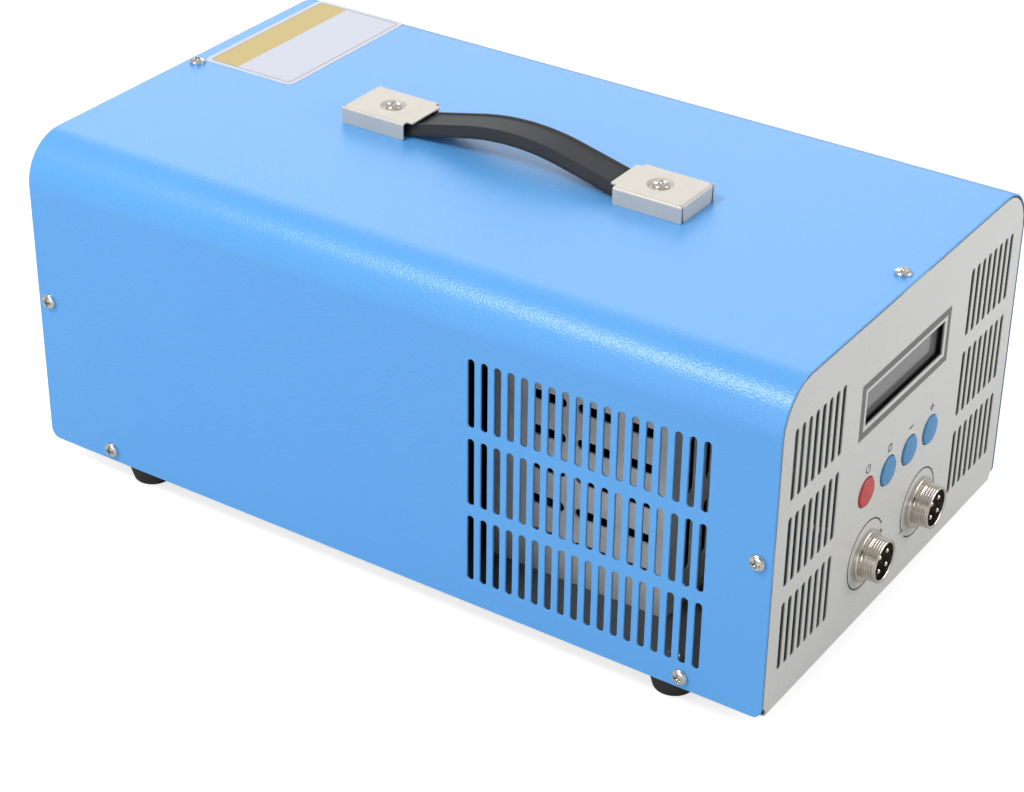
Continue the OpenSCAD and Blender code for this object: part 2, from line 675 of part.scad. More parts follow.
// Supply module: folded steel box with its own fan, board and parts
supply_t = 1;
supply_mid = sheet_t + supply_h / 2;
supply_pillar_h = 6;
supply_board_z = sheet_t + supply_t + supply_pillar_h;
vent_w = 4.5;
vent_l = 16;
vent_edge = 14;
vent_low = 18;
vent_high = 10;
vent_rows = 5;
vent_rise = (supply_h - vent_low - vent_high) / (vent_rows - 1);
vent_step = (supply_l - 3 * vent_edge) / 2;
front_vents = 9;
front_vent_side = 15.5;
front_vent_step = (supply_w - 2 * front_vent_side) / (front_vents - 1);
vent_bridge = 10;
front_vent_l = (supply_h - 4 * vent_bridge) / 2;
lid_vent_l = 34;
lid_vent_y = 30;
grille_step = 7;
grille_slot = 4.4;
module supply_case() color("#b8babb") at_case() {
  difference() {
    box([-supply_w / 2, supply_y, sheet_t], [supply_w / 2, supply_y + supply_l, sheet_t + supply_h]);
    box([-supply_w / 2 + supply_t, supply_y + supply_t, sheet_t + supply_t],
      [supply_w / 2 - supply_t, supply_y + supply_l - supply_t, sheet_t + supply_h + 1]);
    // slots in both sides
    along_x(-supply_w, supply_w) for (i = [0 : 2], j = [0 : vent_rows - 1])
      translate([supply_y + vent_edge + i * vent_step, sheet_t + vent_low + j * vent_rise])
        rotate(90) slot2d(vent_w, vent_l);
    // air outlet behind the fan, inlet slots in front
    along_y(supply_y + supply_l - 3, supply_y + supply_l + 1) translate([0, supply_mid]) {
      intersection() {
        circle(d = supply_fan - 8);
        for (i = [-5 : 5]) translate([i * grille_step, 0])
          square([grille_slot, supply_fan], center = true);
      }
      for (sx = [-1, 1], sy = [-1, 1]) translate([sx, sy] * fan_hole(supply_fan)) circle(m4_r + gap);
    }
    along_y(supply_y - 1, supply_y + 3) for (i = [0 : front_vents - 1], s = [-1, 1])
      translate([(i - (front_vents - 1) / 2) * front_vent_step,
          supply_mid + s * (front_vent_l + vent_bridge) / 2]) slot2d(vent_w, front_vent_l);
  }
  for (sx = [-1, 1], y = [supply_y + 6, supply_y + supply_l - supply_t - fan_depth - 8])
    translate([sx * (supply_w / 2 - 8), y, sheet_t + supply_t / 2])
      cylinder(r = 3, h = supply_pillar_h + supply_t / 2);
}
module supply_lid() color("#b8babb") at_case() difference() {
  box([-supply_w / 2, supply_y, sheet_t + supply_h],
    [supply_w / 2, supply_y + supply_l, sheet_t + supply_h + supply_t]);
  translate([0, 0, sheet_t + supply_h - 1]) linear_extrude(4)
    for (i = [0 : front_vents - 1])
      translate([(i - (front_vents - 1) / 2) * front_vent_step, supply_y + lid_vent_y])
        slot2d(vent_w, lid_vent_l);
}
module supply_board() color("#20603a") at_case()
  box([-supply_w / 2 + supply_t + 1.5, supply_y + supply_t + 1, supply_board_z],
    [supply_w / 2 - supply_t - 1.5, supply_y + supply_l - supply_t - fan_depth - 1,
      supply_board_z + board_t]);
// Transformer, two reservoir capacitors and a cooling plate
parts_y = 29;
transformer_w = 40;
transformer_l = 34;
transformer_h = 32;
transformer_x = -6;
reservoir_r = 12.5;
reservoir_h = 40;
reservoir_space = 9.5;
plate_t = 6;
plate_l = 36;
plate_h = 48;
plate_x = 51;
module supply_parts() color("#3a3a3a") at_case()
  translate([0, supply_y + parts_y, supply_board_z + board_t]) {
    translate([transformer_x - transformer_w / 2, -transformer_l / 2, 0])
      cube([transformer_w, transformer_l, transformer_h]);
    for (s = [-1, 1])
      translate([transformer_x + s * (transformer_w / 2 + reservoir_r + reservoir_space), 0, 0])
        cylinder(r = reservoir_r, h = reservoir_h);
    translate([plate_x, -plate_l / 2, 0]) cube([plate_t, plate_l, plate_h]);
  }

// Control board on the floor behind the front panel
control_y = [19, 55];
control_w = 116;
pillar_h = 6;
relay_w = 19;
relay_l = 16;
relay_h = 16;
relay_x = -40;
relay_step = 21;
capacitor_r = 5.5;
capacitor_h = 20;
capacitor_x = 12;
capacitor_step = 14;
control_mid = (control_y[0] + control_y[1]) / 2;
module control_spots() for (sx = [-1, 1], y = [control_y[0] + 4, control_y[1] - 4])
  translate([sx * (control_w / 2 - 4), y, sheet_t]) children();
module control_pillars() color("#c9a94a") at_case() control_spots() difference() {
  cylinder(r = 3, h = pillar_h);
  translate([0, 0, -1]) cylinder(r = m3_r, h = pillar_h + 2);
}
module control_board() color("#20603a") at_case() difference() {
  box([-control_w / 2, control_y[0], sheet_t + pillar_h],
    [control_w / 2, control_y[1], sheet_t + pillar_h + board_t]);
  control_spots() cylinder(r = m3_r + near, h = 30);
}
control_top = sheet_t + pillar_h + board_t;
module control_relays() color("#2b4f9e") at_case() for (i = [0, 1])
  translate([relay_x + i * relay_step, control_mid - relay_l / 2, control_top])
    cube([relay_w, relay_l, relay_h]);
module control_capacitors() color("#1e2a52") at_case() for (i = [0 : 2])
  translate([capacitor_x + i * capacitor_step, control_mid, control_top])
    cylinder(r = capacitor_r, h = capacitor_h);

// Load module: finned heat sink, power transistors and the load board over them
sink_y = supply_y + supply_l + sink_gap;
sink_l = fan_y - fan_gap - sink_y;
sink_base = 8;
sink_top = sheet_t + sink_fin_h + sink_base;
fins = 15;
fin_t = 2;
transistor_w = 21;
transistor_l = 16;
transistor_t = 5;
transistor_side = 22;
transistor_step = (sink_l - 2 * transistor_l) / 3;
lead_l = 4;
lead_w = 1.2;
lead_t = 0.6;
lead_step = 5.4;
lead_z = 2.2;
module heat_sink() color("#a9abad") at_case() along_y(sink_y, sink_y + sink_l) translate([0, sheet_t]) {
  translate([-sink_w / 2, sink_fin_h]) square([sink_w, sink_base]);
  for (i = [0 : fins - 1]) translate([-sink_w / 2 + i * (sink_w - fin_t) / (fins - 1), 0])
    square([fin_t, sink_fin_h + 1]);
}
module transistors() color("#1b1b1b") at_case() for (s = [-1, 1], i = [0 : 2])
  translate([s * (sink_w / 2 - transistor_side), sink_y + sink_l / 2 + (i - 1) * transistor_step,
      sink_top]) mirror([s > 0 ? 1 : 0, 0, 0]) {
    difference() {
      translate([-transistor_w / 2, -transistor_l / 2, 0])
        cube([transistor_w, transistor_l, transistor_t]);
      translate([-transistor_w / 4, 0, -1]) cylinder(r = 1.8, h = transistor_t + 2);
    }
    for (k = [-1, 0, 1])
      translate([transistor_w / 2 - 0.5, k * lead_step - lead_w / 2, lead_z])
        cube([lead_l, lead_w, lead_t]);
  }
load_h = 14;
load_w = 56;
load_margin = 6;
load_side = 5;
load_end = 12;
big_cap_r = 8;
big_cap_h = 26;
big_cap_x = -14;
big_cap_trim = 60;
big_cap_step = (sink_l - big_cap_trim) / 4;
shunt_x = 12;
shunt_l = 28;
shunt_w = 4;
shunt_h = 9;
shunt_t = 2;
shunt_leg = 3;
shunt_step = 34;
module load_spots() for (sx = [-1, 1], y = [sink_y + load_end, sink_y + sink_l - load_end])
  translate([sx * (load_w / 2 - load_side), y, sink_top]) children();
module load_pillars() color("#c9a94a") at_case() load_spots() difference() {
  cylinder(r = 3, h = load_h);
  translate([0, 0, -1]) cylinder(r = m3_r, h = load_h + 2);
}
module load_board() color("#20603a") at_case() difference() {
  box([-load_w / 2, sink_y + load_margin, sink_top + load_h],
    [load_w / 2, sink_y + sink_l - load_margin, sink_top + load_h + board_t]);
  load_spots() cylinder(r = m3_r + near, h = drill);
}
load_top = sink_top + load_h + board_t;
module load_capacitors() color("#1e2a52") at_case() for (i = [0 : 3])
  translate([big_cap_x, sink_y + sink_l / 2 + (i - 2) * big_cap_step, load_top])
    cylinder(r = big_cap_r, h = big_cap_h);
module load_shunt() color("#b98a5a") at_case() for (i = [0, 1])
  translate([shunt_x, sink_y + sink_l / 2 + (i - 0.75) * shunt_step, load_top]) {
    for (s = [0, 1]) mirror([0, s, 0])
      translate([-shunt_w / 2, shunt_l / 2 - shunt_leg, 0]) cube([shunt_w, shunt_leg, shunt_h]);
    translate([-shunt_w / 2, -shunt_l / 2, shunt_h - shunt_t]) cube([shunt_w, shunt_l, shunt_t]);
  }

// Mains inlet with switch and fuse drawer, seen from behind: X right, Y up, Z outwards
inlet_w = 27;
inlet_h = 47;
inlet_screw_x = 20;
inlet_plate_w = 34;
inlet_plate_h = 58;
ear_w = 50;
ear_h = 22;
inlet_flange = 2.5;
inlet_depth = 25;
plug_w = 24;
plug_h = 16;
plug_l = 15;
plug_cut = 5;
plug_y = -11.6;
drawer_w = 22.8;
drawer_h = 6;
drawer_l = 14;
drawer_y = 1.9;
rocker_y = 14.6;
rocker_w = 18.6;
rocker_h = 12;
pivot_r = 1.5;
module inlet_place() rear_at(inlet_x, inlet_z) children();
module inlet_body() color("#171717") inlet_place() difference() {
  union() {
    linear_extrude(inlet_flange) {
      round2d(inlet_plate_w, inlet_plate_h, 3);
      round2d(ear_w, ear_h, 5);
    }
    box([-inlet_w / 2, -inlet_h / 2, -inlet_depth], [inlet_w / 2, inlet_h / 2, 1]);
  }
  // plug recess, the two upper corners cut off
  translate([0, plug_y, -plug_l]) linear_extrude(plug_l + 10)
    polygon([[-plug_w / 2, -plug_h / 2], [plug_w / 2, -plug_h / 2],
      [plug_w / 2, plug_h / 2 - plug_cut], [plug_w / 2 - plug_cut, plug_h / 2],
      [plug_cut - plug_w / 2, plug_h / 2], [-plug_w / 2, plug_h / 2 - plug_cut]]);
  blade_places() box([-1 - near / 2, -2 - near / 2, -inlet_depth - 1], [1 + near / 2, 2 + near / 2, 0]);
  box([-drawer_w / 2 - near, drawer_y - drawer_h / 2 - near, inlet_flange - drawer_l - 1],
    [drawer_w / 2 + near, drawer_y + drawer_h / 2 + near, inlet_flange + 1]);
  box([-rocker_w / 2 - gap, rocker_y - rocker_h / 2 - 1, -8],
    [rocker_w / 2 + gap, rocker_y + rocker_h / 2 + 1, inlet_flange + 1]);
  translate([-rocker_w / 2 - 1.6, rocker_y, pivot_z]) rotate([0, 90, 0])
    cylinder(r = pivot_r + run, h = rocker_w + 3.2);
  for (s = [-1, 1]) translate([s * inlet_screw_x, 0, -1]) cylinder(r = m3_r + near, h = 5);
}
pivot_z = 0;
module blade_places() for (p = [[-7, plug_y - 2], [7, plug_y - 2], [0, plug_y + 2]])
  translate([p[0], p[1], 0]) children();
module inlet_pins() color("#d8cfb8") inlet_place() blade_places()
  box([-1, -2, -inlet_depth - inlet_pin_tail], [1, 2, -1]);
module inlet_screws() color("#b9b9b5") inlet_place() for (s = [-1, 1])
  translate([s * inlet_screw_x, 0, inlet_flange])
  screw(m3_r, inlet_flange + sheet_t + inlet_screw_out, small_head_d, small_head_h);
module inlet_nuts() color("#b9b9b5") inlet_place() for (s = [-1, 1])
  translate([s * inlet_screw_x, 0, -sheet_t - small_nut_h])
  nut(m3_r, small_nut_w, small_nut_h);
module rocker() color("#151515") inlet_place() translate([0, rocker_y, pivot_z])
  rotate([rocker_swing / 2, 0, 0]) {
  along_x(-rocker_w / 2, rocker_w / 2) polygon([[-rocker_h / 2, -4.5], [rocker_h / 2, -4.5],
    [rocker_h / 2, 3.6],
    [0, 2.4], [-rocker_h / 2, 3.6]]);
  translate([-rocker_w / 2 - 1.2, 0, 0]) rotate([0, 90, 0]) cylinder(r = pivot_r, h = rocker_w + 2.4);
}
module fuse_drawer() color("#1b1b1b") inlet_place() translate([0, drawer_y, inlet_flange]) difference() {
  union() {
    box([-drawer_w / 2, -drawer_h / 2, -drawer_l], [drawer_w / 2, drawer_h / 2, 0]);
    box([-drawer_w / 2 - 0.6, -drawer_h / 2 - 0.6, 0], [drawer_w / 2 + 0.6, drawer_h / 2 + 0.6, 1.2]);
    box([-5, drawer_h / 2 - 0.6, 1], [5, drawer_h / 2 + 0.6, 2.6]);
  }
  box([-10.4, -2.3, -10.4], [10.4, drawer_h, -5]);
}
module fuse() color("#d9dcd8") inlet_place()
  translate([-10, drawer_y - 2.3 + 2.6 + wire_seat, inlet_flange - 7.7])
  rotate([0, 90, 0]) cylinder(r = 2.6, h = 20);

cover();
chassis();
feet();
foot_screws();
nuts();
case_screws();
strap();
cap_front();
cap_rear();
handle_screws();
lcd_frame();
lcd_glass();
lcd_backlight();
lcd_board();
lcd_header();
display_board();
display_studs();
display_screws();
key_switches();
button_on();
button_set();
button_minus();
button_plus();
socket_left();
socket_right();
socket_cores();
socket_pins();
socket_nuts();
signal_socket();
signal_core();
signal_pins();
signal_nut();
supply_case();
supply_lid();
supply_board();
supply_parts();
supply_fan_frame();
supply_rotor();
control_board();
control_pillars();
control_relays();
control_capacitors();
heat_sink();
transistors();
load_pillars();
load_board();
load_capacitors();
load_shunt();
fan_frame();
fan_rotor();
fan_guard();
fan_screws();
inlet_body();
inlet_pins();
inlet_screws();
inlet_nuts();
rocker();
fuse_drawer();
fuse();
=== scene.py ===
"""Looks of the bench battery capacity tester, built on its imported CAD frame.

Shapes are worked out in millimetres as numpy surfaces and stored in metres. The front faces -Y.
"""

import math

import bpy
import numpy as np
from mathutils import Matrix, Vector
from mathutils.geometry import delaunay_2d_cdt


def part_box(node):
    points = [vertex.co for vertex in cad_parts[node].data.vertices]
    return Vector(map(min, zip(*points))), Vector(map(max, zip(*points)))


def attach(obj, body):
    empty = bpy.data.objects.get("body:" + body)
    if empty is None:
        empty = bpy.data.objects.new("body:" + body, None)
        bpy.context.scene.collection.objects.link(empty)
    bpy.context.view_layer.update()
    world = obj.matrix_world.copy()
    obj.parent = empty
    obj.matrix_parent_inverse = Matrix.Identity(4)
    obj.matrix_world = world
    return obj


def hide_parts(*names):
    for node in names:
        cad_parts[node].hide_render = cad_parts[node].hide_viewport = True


bl_info = {
    "name": "Battery capacity tester",
    "version": (1, 0, 0),
    "blender": (4, 5, 0),
    "location": "3D View > Sidebar > Tester",
    "description": "Dresses the packed capacity tester: painted case, handle, panel, sockets and fans",
    "category": "Object",
}

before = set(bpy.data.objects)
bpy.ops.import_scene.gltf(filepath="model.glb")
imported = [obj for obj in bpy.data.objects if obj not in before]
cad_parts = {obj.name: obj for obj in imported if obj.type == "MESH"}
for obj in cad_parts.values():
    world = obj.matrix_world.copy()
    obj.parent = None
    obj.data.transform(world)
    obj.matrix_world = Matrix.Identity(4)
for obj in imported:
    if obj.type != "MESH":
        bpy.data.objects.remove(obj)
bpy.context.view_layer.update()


def box_mm(*nodes):
    """Lowest and highest corner of CAD nodes, in millimetres."""
    corners = np.array([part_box(name) for name in nodes]) * 1000
    return corners[:, 0].min(0), corners[:, 1].max(0)


def middle_mm(name):
    """Middle of a CAD node's box, in millimetres."""
    low, high = box_mm(name)
    return (low + high) / 2


# Places taken from the frame
COVER_LOW, COVER_HIGH = box_mm("cover")
PANEL_LOW, PANEL_HIGH = box_mm("chassis")
EDGE_Z = COVER_LOW[2]
TOP_Z = COVER_HIGH[2]
FRONT_Y = PANEL_LOW[1]
REAR_Y = PANEL_HIGH[1]

# Places and sizes that several pieces share, in millimetres. Heights with UP count from the cover's lower edge
CASE_HALF = 176.0
SHEET_GAP = 0.3
LOW_SCREW_IN, LOW_SCREW_UP = 35.0, 5.5
END_SCREW_IN, END_SCREW_UP = 6.0, 69.0
HANDLE_SCREWS = (-64.5, 64.5)
BUTTON_MIDDLE, BUTTON_PITCH, BUTTON_UP = 0.1, 18.4, 61.0
SOCKET_X, SOCKET_UP = 22.9, 29.7
INLET_X, INLET_Z, INLET_SCREW = 55.0, 94.0, 20.0
FAN_SCREW = 41.25
FOOT_SCREW_X, FOOT_SCREW_Y = 88.5, 131.0
TAPPED, CLEAR, BOLT = 1.5, 1.8, 2.3


# Mesh kit


def linked(name, data):
    """Object that shows a mesh, a lamp or a camera, linked to the scene."""
    thing = bpy.data.objects.new(name, data)
    bpy.context.scene.collection.objects.link(thing)
    return thing


def closed_steps(count, closed):
    """Index of each step along a row of points, and of the point after it."""
    here = np.arange(count if closed else count - 1)
    return here, (here + 1) % count


def grid_faces(rows, columns, close_rows=False, close_columns=False):
    """Quads between neighbouring points of a grid of rows and columns."""
    row, next_row = closed_steps(rows, close_rows)
    column, next_column = closed_steps(columns, close_columns)
    corners = (
        row[:, None] * columns + column,
        row[:, None] * columns + next_column,
        next_row[:, None] * columns + next_column,
        next_row[:, None] * columns + column,
    )
    return np.stack(corners, -1).reshape(-1, 4)


class Patchwork:
    """Surface patches of one piece, in millimetres, welded into one closed mesh with its own normals."""

    def __init__(self):
        self.points, self.normals, self.faces = [], [], []
        self.count = 0

    def add(self, points, normals, faces, place=None):
        """Adds loose points with their normals and faces; place moves them into the frame."""
        points, normals = points.reshape(-1, 3), normals.reshape(-1, 3)
        if place is not None:
            points, normals = place(points, normals)
        if faces.shape[1] == 3:
            faces = faces[:, (0, 1, 2, 2)]
        self.points.append(points)
        self.normals.append(normals)
        self.faces.append(faces + self.count)
        self.count += len(points)

    def grid(self, points, normals, close_rows=False, close_columns=False, place=None):
        """Adds a surface of two parameters: points and normals are (rows, columns, 3)."""
        rows, columns = points.shape[:2]
        self.add(points, normals, grid_faces(rows, columns, close_rows, close_columns), place)

    def mesh(self, name):
        """Welds points that lie within a ten-thousandth of a millimetre, turns each face to its normals
        and drops the sides that have shrunk to a point."""
        points = np.concatenate(self.points)
        normals = np.concatenate(self.normals)
        faces = np.concatenate(self.faces)
        key = np.round(points * 1e4).astype(np.int64)
        _, first, weld = np.unique(key, axis=0, return_index=True, return_inverse=True)
        weld = weld.reshape(-1)
        corner = points[faces]
        facing = np.cross(corner[:, 2] - corner[:, 0], corner[:, 3] - corner[:, 1])
        flat = np.linalg.norm(facing, axis=1) < 1e-12
        facing[flat] = np.cross(corner[flat, 1] - corner[flat, 0], corner[flat, 2] - corner[flat, 0])
        turned = (facing * normals[faces].sum(1)).sum(1) < 0
        faces[turned] = faces[turned, ::-1]
        loops = weld[faces]
        keep = loops != np.roll(loops, 1, 1)
        whole = keep.sum(1) > 2
        whole &= (loops[:, 0] != loops[:, 2]) & (loops[:, 1] != loops[:, 3])
        keep &= whole[:, None]
        sides = keep.sum(1)[whole]
        start = np.concatenate(([0], np.cumsum(sides)[:-1]))
        mesh = bpy.data.meshes.new(name)
        mesh.vertices.add(len(first))
        mesh.vertices.foreach_set("co", (points[first] / 1000).ravel())
        mesh.loops.add(int(sides.sum()))
        mesh.loops.foreach_set("vertex_index", loops[keep].astype(np.int32))
        mesh.polygons.add(len(sides))
        mesh.polygons.foreach_set("loop_start", start.astype(np.int32))
        mesh.update(calc_edges=True)
        mesh.normals_split_custom_set(normals[faces][keep].tolist())
        return mesh

    def piece(self, name, material, body="case", slot=None, replaces=()):
        """Makes the object, gives it its material and lets it ride on a body of the frame."""
        thing = linked(name, self.mesh(name))
        thing.data.materials.append(material)
        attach(thing, body)
        if replaces:
            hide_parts(*replaces)
        slot or material["slot"]
        return thing


def unit(vectors):
    """Vectors brought to length one."""
    return vectors / np.maximum(np.linalg.norm(vectors, axis=-1, keepdims=True), 1e-12)


def surface_normals(points, close_rows=False, close_columns=False):
    """Normals of a grid: the cross product of the directions to the neighbours along and across it."""

    def slope(axis, closed):
        ahead, behind = np.roll(points, -1, axis), np.roll(points, 1, axis)
        if not closed:
            if axis == 0:
                ahead[-1], behind[0] = points[-1], points[0]
            else:
                ahead[:, -1], behind[:, 0] = points[:, -1], points[:, 0]
        return ahead - behind

    return unit(np.cross(slope(1, close_columns), slope(0, close_rows)))


def crisp(work, points, place=None, close_rows=False, close_columns=False, way=1.0, limit=0.8):
    """Adds a grid with sharp edges: a face's corner takes the smooth normal of the surface, or the face's own
    normal where the cosine of the angle between the two is under the limit."""
    faces = grid_faces(*points.shape[:2], close_rows, close_columns)
    smooth = way * surface_normals(points, close_rows, close_columns).reshape(-1, 3)[faces]
    corner = points.reshape(-1, 3)[faces]
    flat = way * unit(np.cross(corner[:, 2] - corner[:, 0], corner[:, 3] - corner[:, 1]))[:, None]
    normals = np.where((smooth * flat).sum(-1, keepdims=True) > limit, smooth, flat)
    work.add(corner, normals, np.arange(faces.size).reshape(-1, 4), place)


def rounded(corners, radii, steps=6):
    """Closed outline through corners, anticlockwise, with an arc of its own radius at each corner.
    The arc's centre lies one radius inside both sides, and a point is the centre plus the radius along
    its outward normal. A hollow corner has its centre outside."""
    corners = np.asarray(corners, float)
    radii = np.broadcast_to(np.asarray(radii, float), len(corners))
    arriving = unit(corners - np.roll(corners, 1, 0))
    leaving = unit(np.roll(corners, -1, 0) - corners)
    out = np.stack((arriving[:, 1], -arriving[:, 0]), -1)
    cross = arriving[:, 0] * leaving[:, 1] - arriving[:, 1] * leaving[:, 0]
    turn = np.arctan2(cross, (arriving * leaving).sum(1))
    bend = np.sign(turn) * radii
    start = corners - arriving * (radii * np.tan(np.abs(turn) / 2))[:, None]
    centre = start - bend[:, None] * out
    angle = np.arctan2(out[:, 1], out[:, 0])[:, None] + turn[:, None] * np.linspace(0, 1, steps)
    normals = np.stack((np.cos(angle), np.sin(angle)), -1)
    points = centre[:, None] + bend[:, None, None] * normals
    return points.reshape(-1, 2), normals.reshape(-1, 2)


def rectangle(low, high, radius, steps=6):
    """Rounded rectangle between two corners."""
    (x0, y0), (x1, y1) = low, high
    return rounded([(x0, y0), (x1, y0), (x1, y1), (x0, y1)], radius, steps)


def slot(centre, across, along, steps=7):
    """Slot with round ends: across and along are its two sizes."""
    centre = np.asarray(centre, float)
    half = np.array((across, along)) / 2
    return rectangle(centre - half, centre + half, min(half) * 0.999, steps)


def circle(centre, radius, steps=32):
    """Circle, anticlockwise."""
    angle = np.arange(steps) * 2 * np.pi / steps
    normals = np.stack((np.cos(angle), np.sin(angle)), -1)
    return np.asarray(centre, float) + radius * normals, normals


def hole(centre, radius):
    """Hole for a screw."""
    return circle(centre, radius, 20)


def arc_band(centre, radius, width, start, end, steps=48):
    """Band along a circle from one angle to another, in degrees, with square ends."""
    angle = np.radians(np.linspace(start, end, steps))
    way = np.stack((np.cos(angle), np.sin(angle)), -1)
    outer = np.asarray(centre, float) + (radius + width / 2) * way
    inner = np.asarray(centre, float) + (radius - width / 2) * way
    return np.concatenate((outer, inner[::-1])), np.concatenate((way, -way[::-1]))


def densified(loop, axis, stations):
    """Outline with extra points where its sides cross given values of one coordinate. The point lies at
    the same share of the side as the value between its ends."""
    points, normals = loop
    after, after_normal = np.roll(points, -1, 0), np.roll(normals, -1, 0)
    stations = np.asarray(stations, float)
    span = (after - points)[:, axis]
    safe = np.where(np.abs(span) < 1e-9, np.inf, span)
    share = (stations[None] - points[:, axis, None]) / safe[:, None]
    side, which = np.nonzero((share > 1e-6) & (share < 1 - 1e-6))
    part = share[side, which]
    extra = points[side] + part[:, None] * (after - points)[side]
    extra[:, axis] = stations[which]
    extra_normal = unit(normals[side] + part[:, None] * (after_normal - normals)[side])
    order = np.argsort(np.concatenate((np.arange(len(points)), side + part)), kind="stable")
    return np.concatenate((points, extra))[order], np.concatenate((normals, extra_normal))[order]


def fill(loops, creases=(), ridges=()):
    """Triangles between an outline and the holes in it, as points and faces. A crease joins the outline's
    points at one value of a coordinate, and a ridge is a loop inside the sheet; the sheet can bend at both."""
    sizes = [len(loop) for loop in loops]
    starts = np.concatenate(([0], np.cumsum(sizes)[:-1]))
    points = np.concatenate(loops)
    rings = [list(range(start, start + size)) for start, size in zip(starts, sizes)]
    lines = []
    for axis, value in creases:
        on = np.nonzero(np.abs(loops[0][:, axis] - value) < 1e-6)[0]
        across = loops[0][on, 1 - axis]
        lines.append((int(on[across.argmin()]), int(on[across.argmax()])))
    for ridge in ridges:
        here, after = closed_steps(len(ridge), True)
        lines += (np.stack((here, after), -1) + len(points)).tolist()
        points = np.concatenate((points, ridge))
    spots, _, triangles, origin, _, inside = delaunay_2d_cdt(points.tolist(), lines, rings, 0, 1e-5)
    exact = np.array([points[source[0]] if source else tuple(spot) for spot, source in zip(spots, origin)])
    return exact, np.array([face for face, owners in zip(triangles, inside) if owners == [0]])


def plate(work, outline, holes, low, high, edge, place=None, creases=(), ridges=(), steps=4):
    """Flat plate with holes and rounded rims. The rim is a quarter circle, a straight side and a quarter
    circle carried round each outline; the flat faces are filled inside the rims."""
    quarter = np.linspace(0, np.pi / 2, steps) if edge else np.zeros(1)
    angle = np.concatenate((-quarter[::-1], quarter))
    inset = edge * (1 - np.cos(angle))
    height = np.where(
        np.arange(len(angle)) < len(quarter), low + edge * (1 + np.sin(angle)), high - edge * (1 - np.sin(angle))
    )
    loops = []
    for (points, normals), side in [(outline, 1)] + [(hole, -1) for hole in holes]:
        rows = points[None] - side * inset[:, None, None] * normals[None]
        levels = np.broadcast_to(height[:, None, None], rows.shape[:2] + (1,))
        flat = side * np.cos(angle)[:, None, None] * normals[None]
        rise = np.broadcast_to(np.sin(angle)[:, None, None], levels.shape)
        work.grid(
            np.concatenate((rows, levels), -1), np.concatenate((flat, rise), -1), close_columns=True, place=place
        )
        loops.append(points - side * edge * normals)
    spots, triangles = fill(loops, creases, ridges)
    for level, up in ((low, -1.0), (high, 1.0)):
        face = np.column_stack((spots, np.full(len(spots), level)))
        work.add(face, np.broadcast_to((0.0, 0.0, up), face.shape), triangles, place)


def lathe(work, outline, place=None, segments=64):
    """Solid of revolution: a closed outline of radius and height is carried round the height axis."""
    points, normals = outline
    angle = (np.arange(segments) * 2 * np.pi / segments)[None]
    ring, level = points[:, 0, None], points[:, 1, None]
    lean, rise = normals[:, 0, None], normals[:, 1, None]
    surface = np.stack((ring * np.cos(angle), ring * np.sin(angle), level + 0 * angle), -1)
    facing = np.stack((lean * np.cos(angle), lean * np.sin(angle), rise + 0 * angle), -1)
    work.grid(surface, facing, close_rows=True, close_columns=True, place=place)


def axes(origin, right, up, out):
    """Placement that puts a flat shape's three axes along given directions from an origin."""
    turn = np.array((right, up, out), float)
    origin = np.asarray(origin, float)

    def place(points, normals):
        return points @ turn + origin, normals @ turn

    return place


def front(x=0.0, z=0.0, y=None):
    """Placement on the front panel: right is +X, up is +Z, out is -Y."""
    return axes((x, FRONT_Y if y is None else y, z), (1, 0, 0), (0, 0, 1), (0, -1, 0))


def rear(x=0.0, z=0.0, y=None):
    """Placement on the rear panel as seen from behind: right is -X, out is +Y."""
    return axes((x, REAR_Y if y is None else y, z), (-1, 0, 0), (0, 0, 1), (0, 1, 0))


def top(x=0.0, y=0.0, z=None):
    """Placement on the cover's top: right is +X, up is +Y, out is +Z."""
    return axes((x, y, TOP_Z if z is None else z), (1, 0, 0), (0, 1, 0), (0, 0, 1))


def side(sign, y, z):
    """Placement on a side wall: sign is -1 on the left and +1 on the right."""
    return axes((sign * COVER_HIGH[0], y, z), (0, sign, 0), (0, 0, 1), (sign, 0, 0))


class Course:
    """Path of legs in a plane. Each leg has a length and the angle it turns through. A stretch of length d
    and curvature k covers the chord d sin(kd/2)/(kd/2) in the direction it has at its middle."""

    def __init__(self, legs, start=(0.0, 0.0), heading=0.0):
        length, turn = np.array(legs, float).T
        self.at = np.concatenate(([0.0], np.cumsum(length)))
        self.heading = heading + np.concatenate(([0.0], np.cumsum(turn)))
        self.curve = turn / length
        steps = self.chord(length, self.curve, self.heading[:-1])
        self.start = np.array(start, float) + np.concatenate((np.zeros((1, 2)), np.cumsum(steps, 0)))

    @staticmethod
    def chord(length, curve, heading):
        half = curve * length / 2
        way = np.stack((np.cos(heading + half), np.sin(heading + half)), -1)
        return (length * np.sinc(half / np.pi))[..., None] * way

    def __call__(self, distance):
        """Point and heading at a distance along the path."""
        leg = np.clip(np.searchsorted(self.at, distance, side="right") - 1, 0, len(self.curve) - 1)
        rest = distance - self.at[leg]
        spot = self.start[leg] + self.chord(rest, self.curve[leg], self.heading[leg])
        return spot, self.heading[leg] + self.curve[leg] * rest


def folded(course):
    """Placement of a flat sheet on a course in the XZ plane: the sheet's first axis runs along the course,
    its second keeps to Y and its thickness stands to the left of the course."""

    def place(points, normals):
        spot, heading = course(points[:, 0])
        ahead = np.stack((np.cos(heading), np.sin(heading)), -1)
        left = np.stack((-np.sin(heading), np.cos(heading)), -1)
        where = spot + points[:, 2, None] * left
        facing = normals[:, 0, None] * ahead + normals[:, 2, None] * left
        return (
            np.stack((where[:, 0], points[:, 1], where[:, 1]), -1),
            np.stack((facing[:, 0], normals[:, 1], facing[:, 1]), -1),
        )

    return place


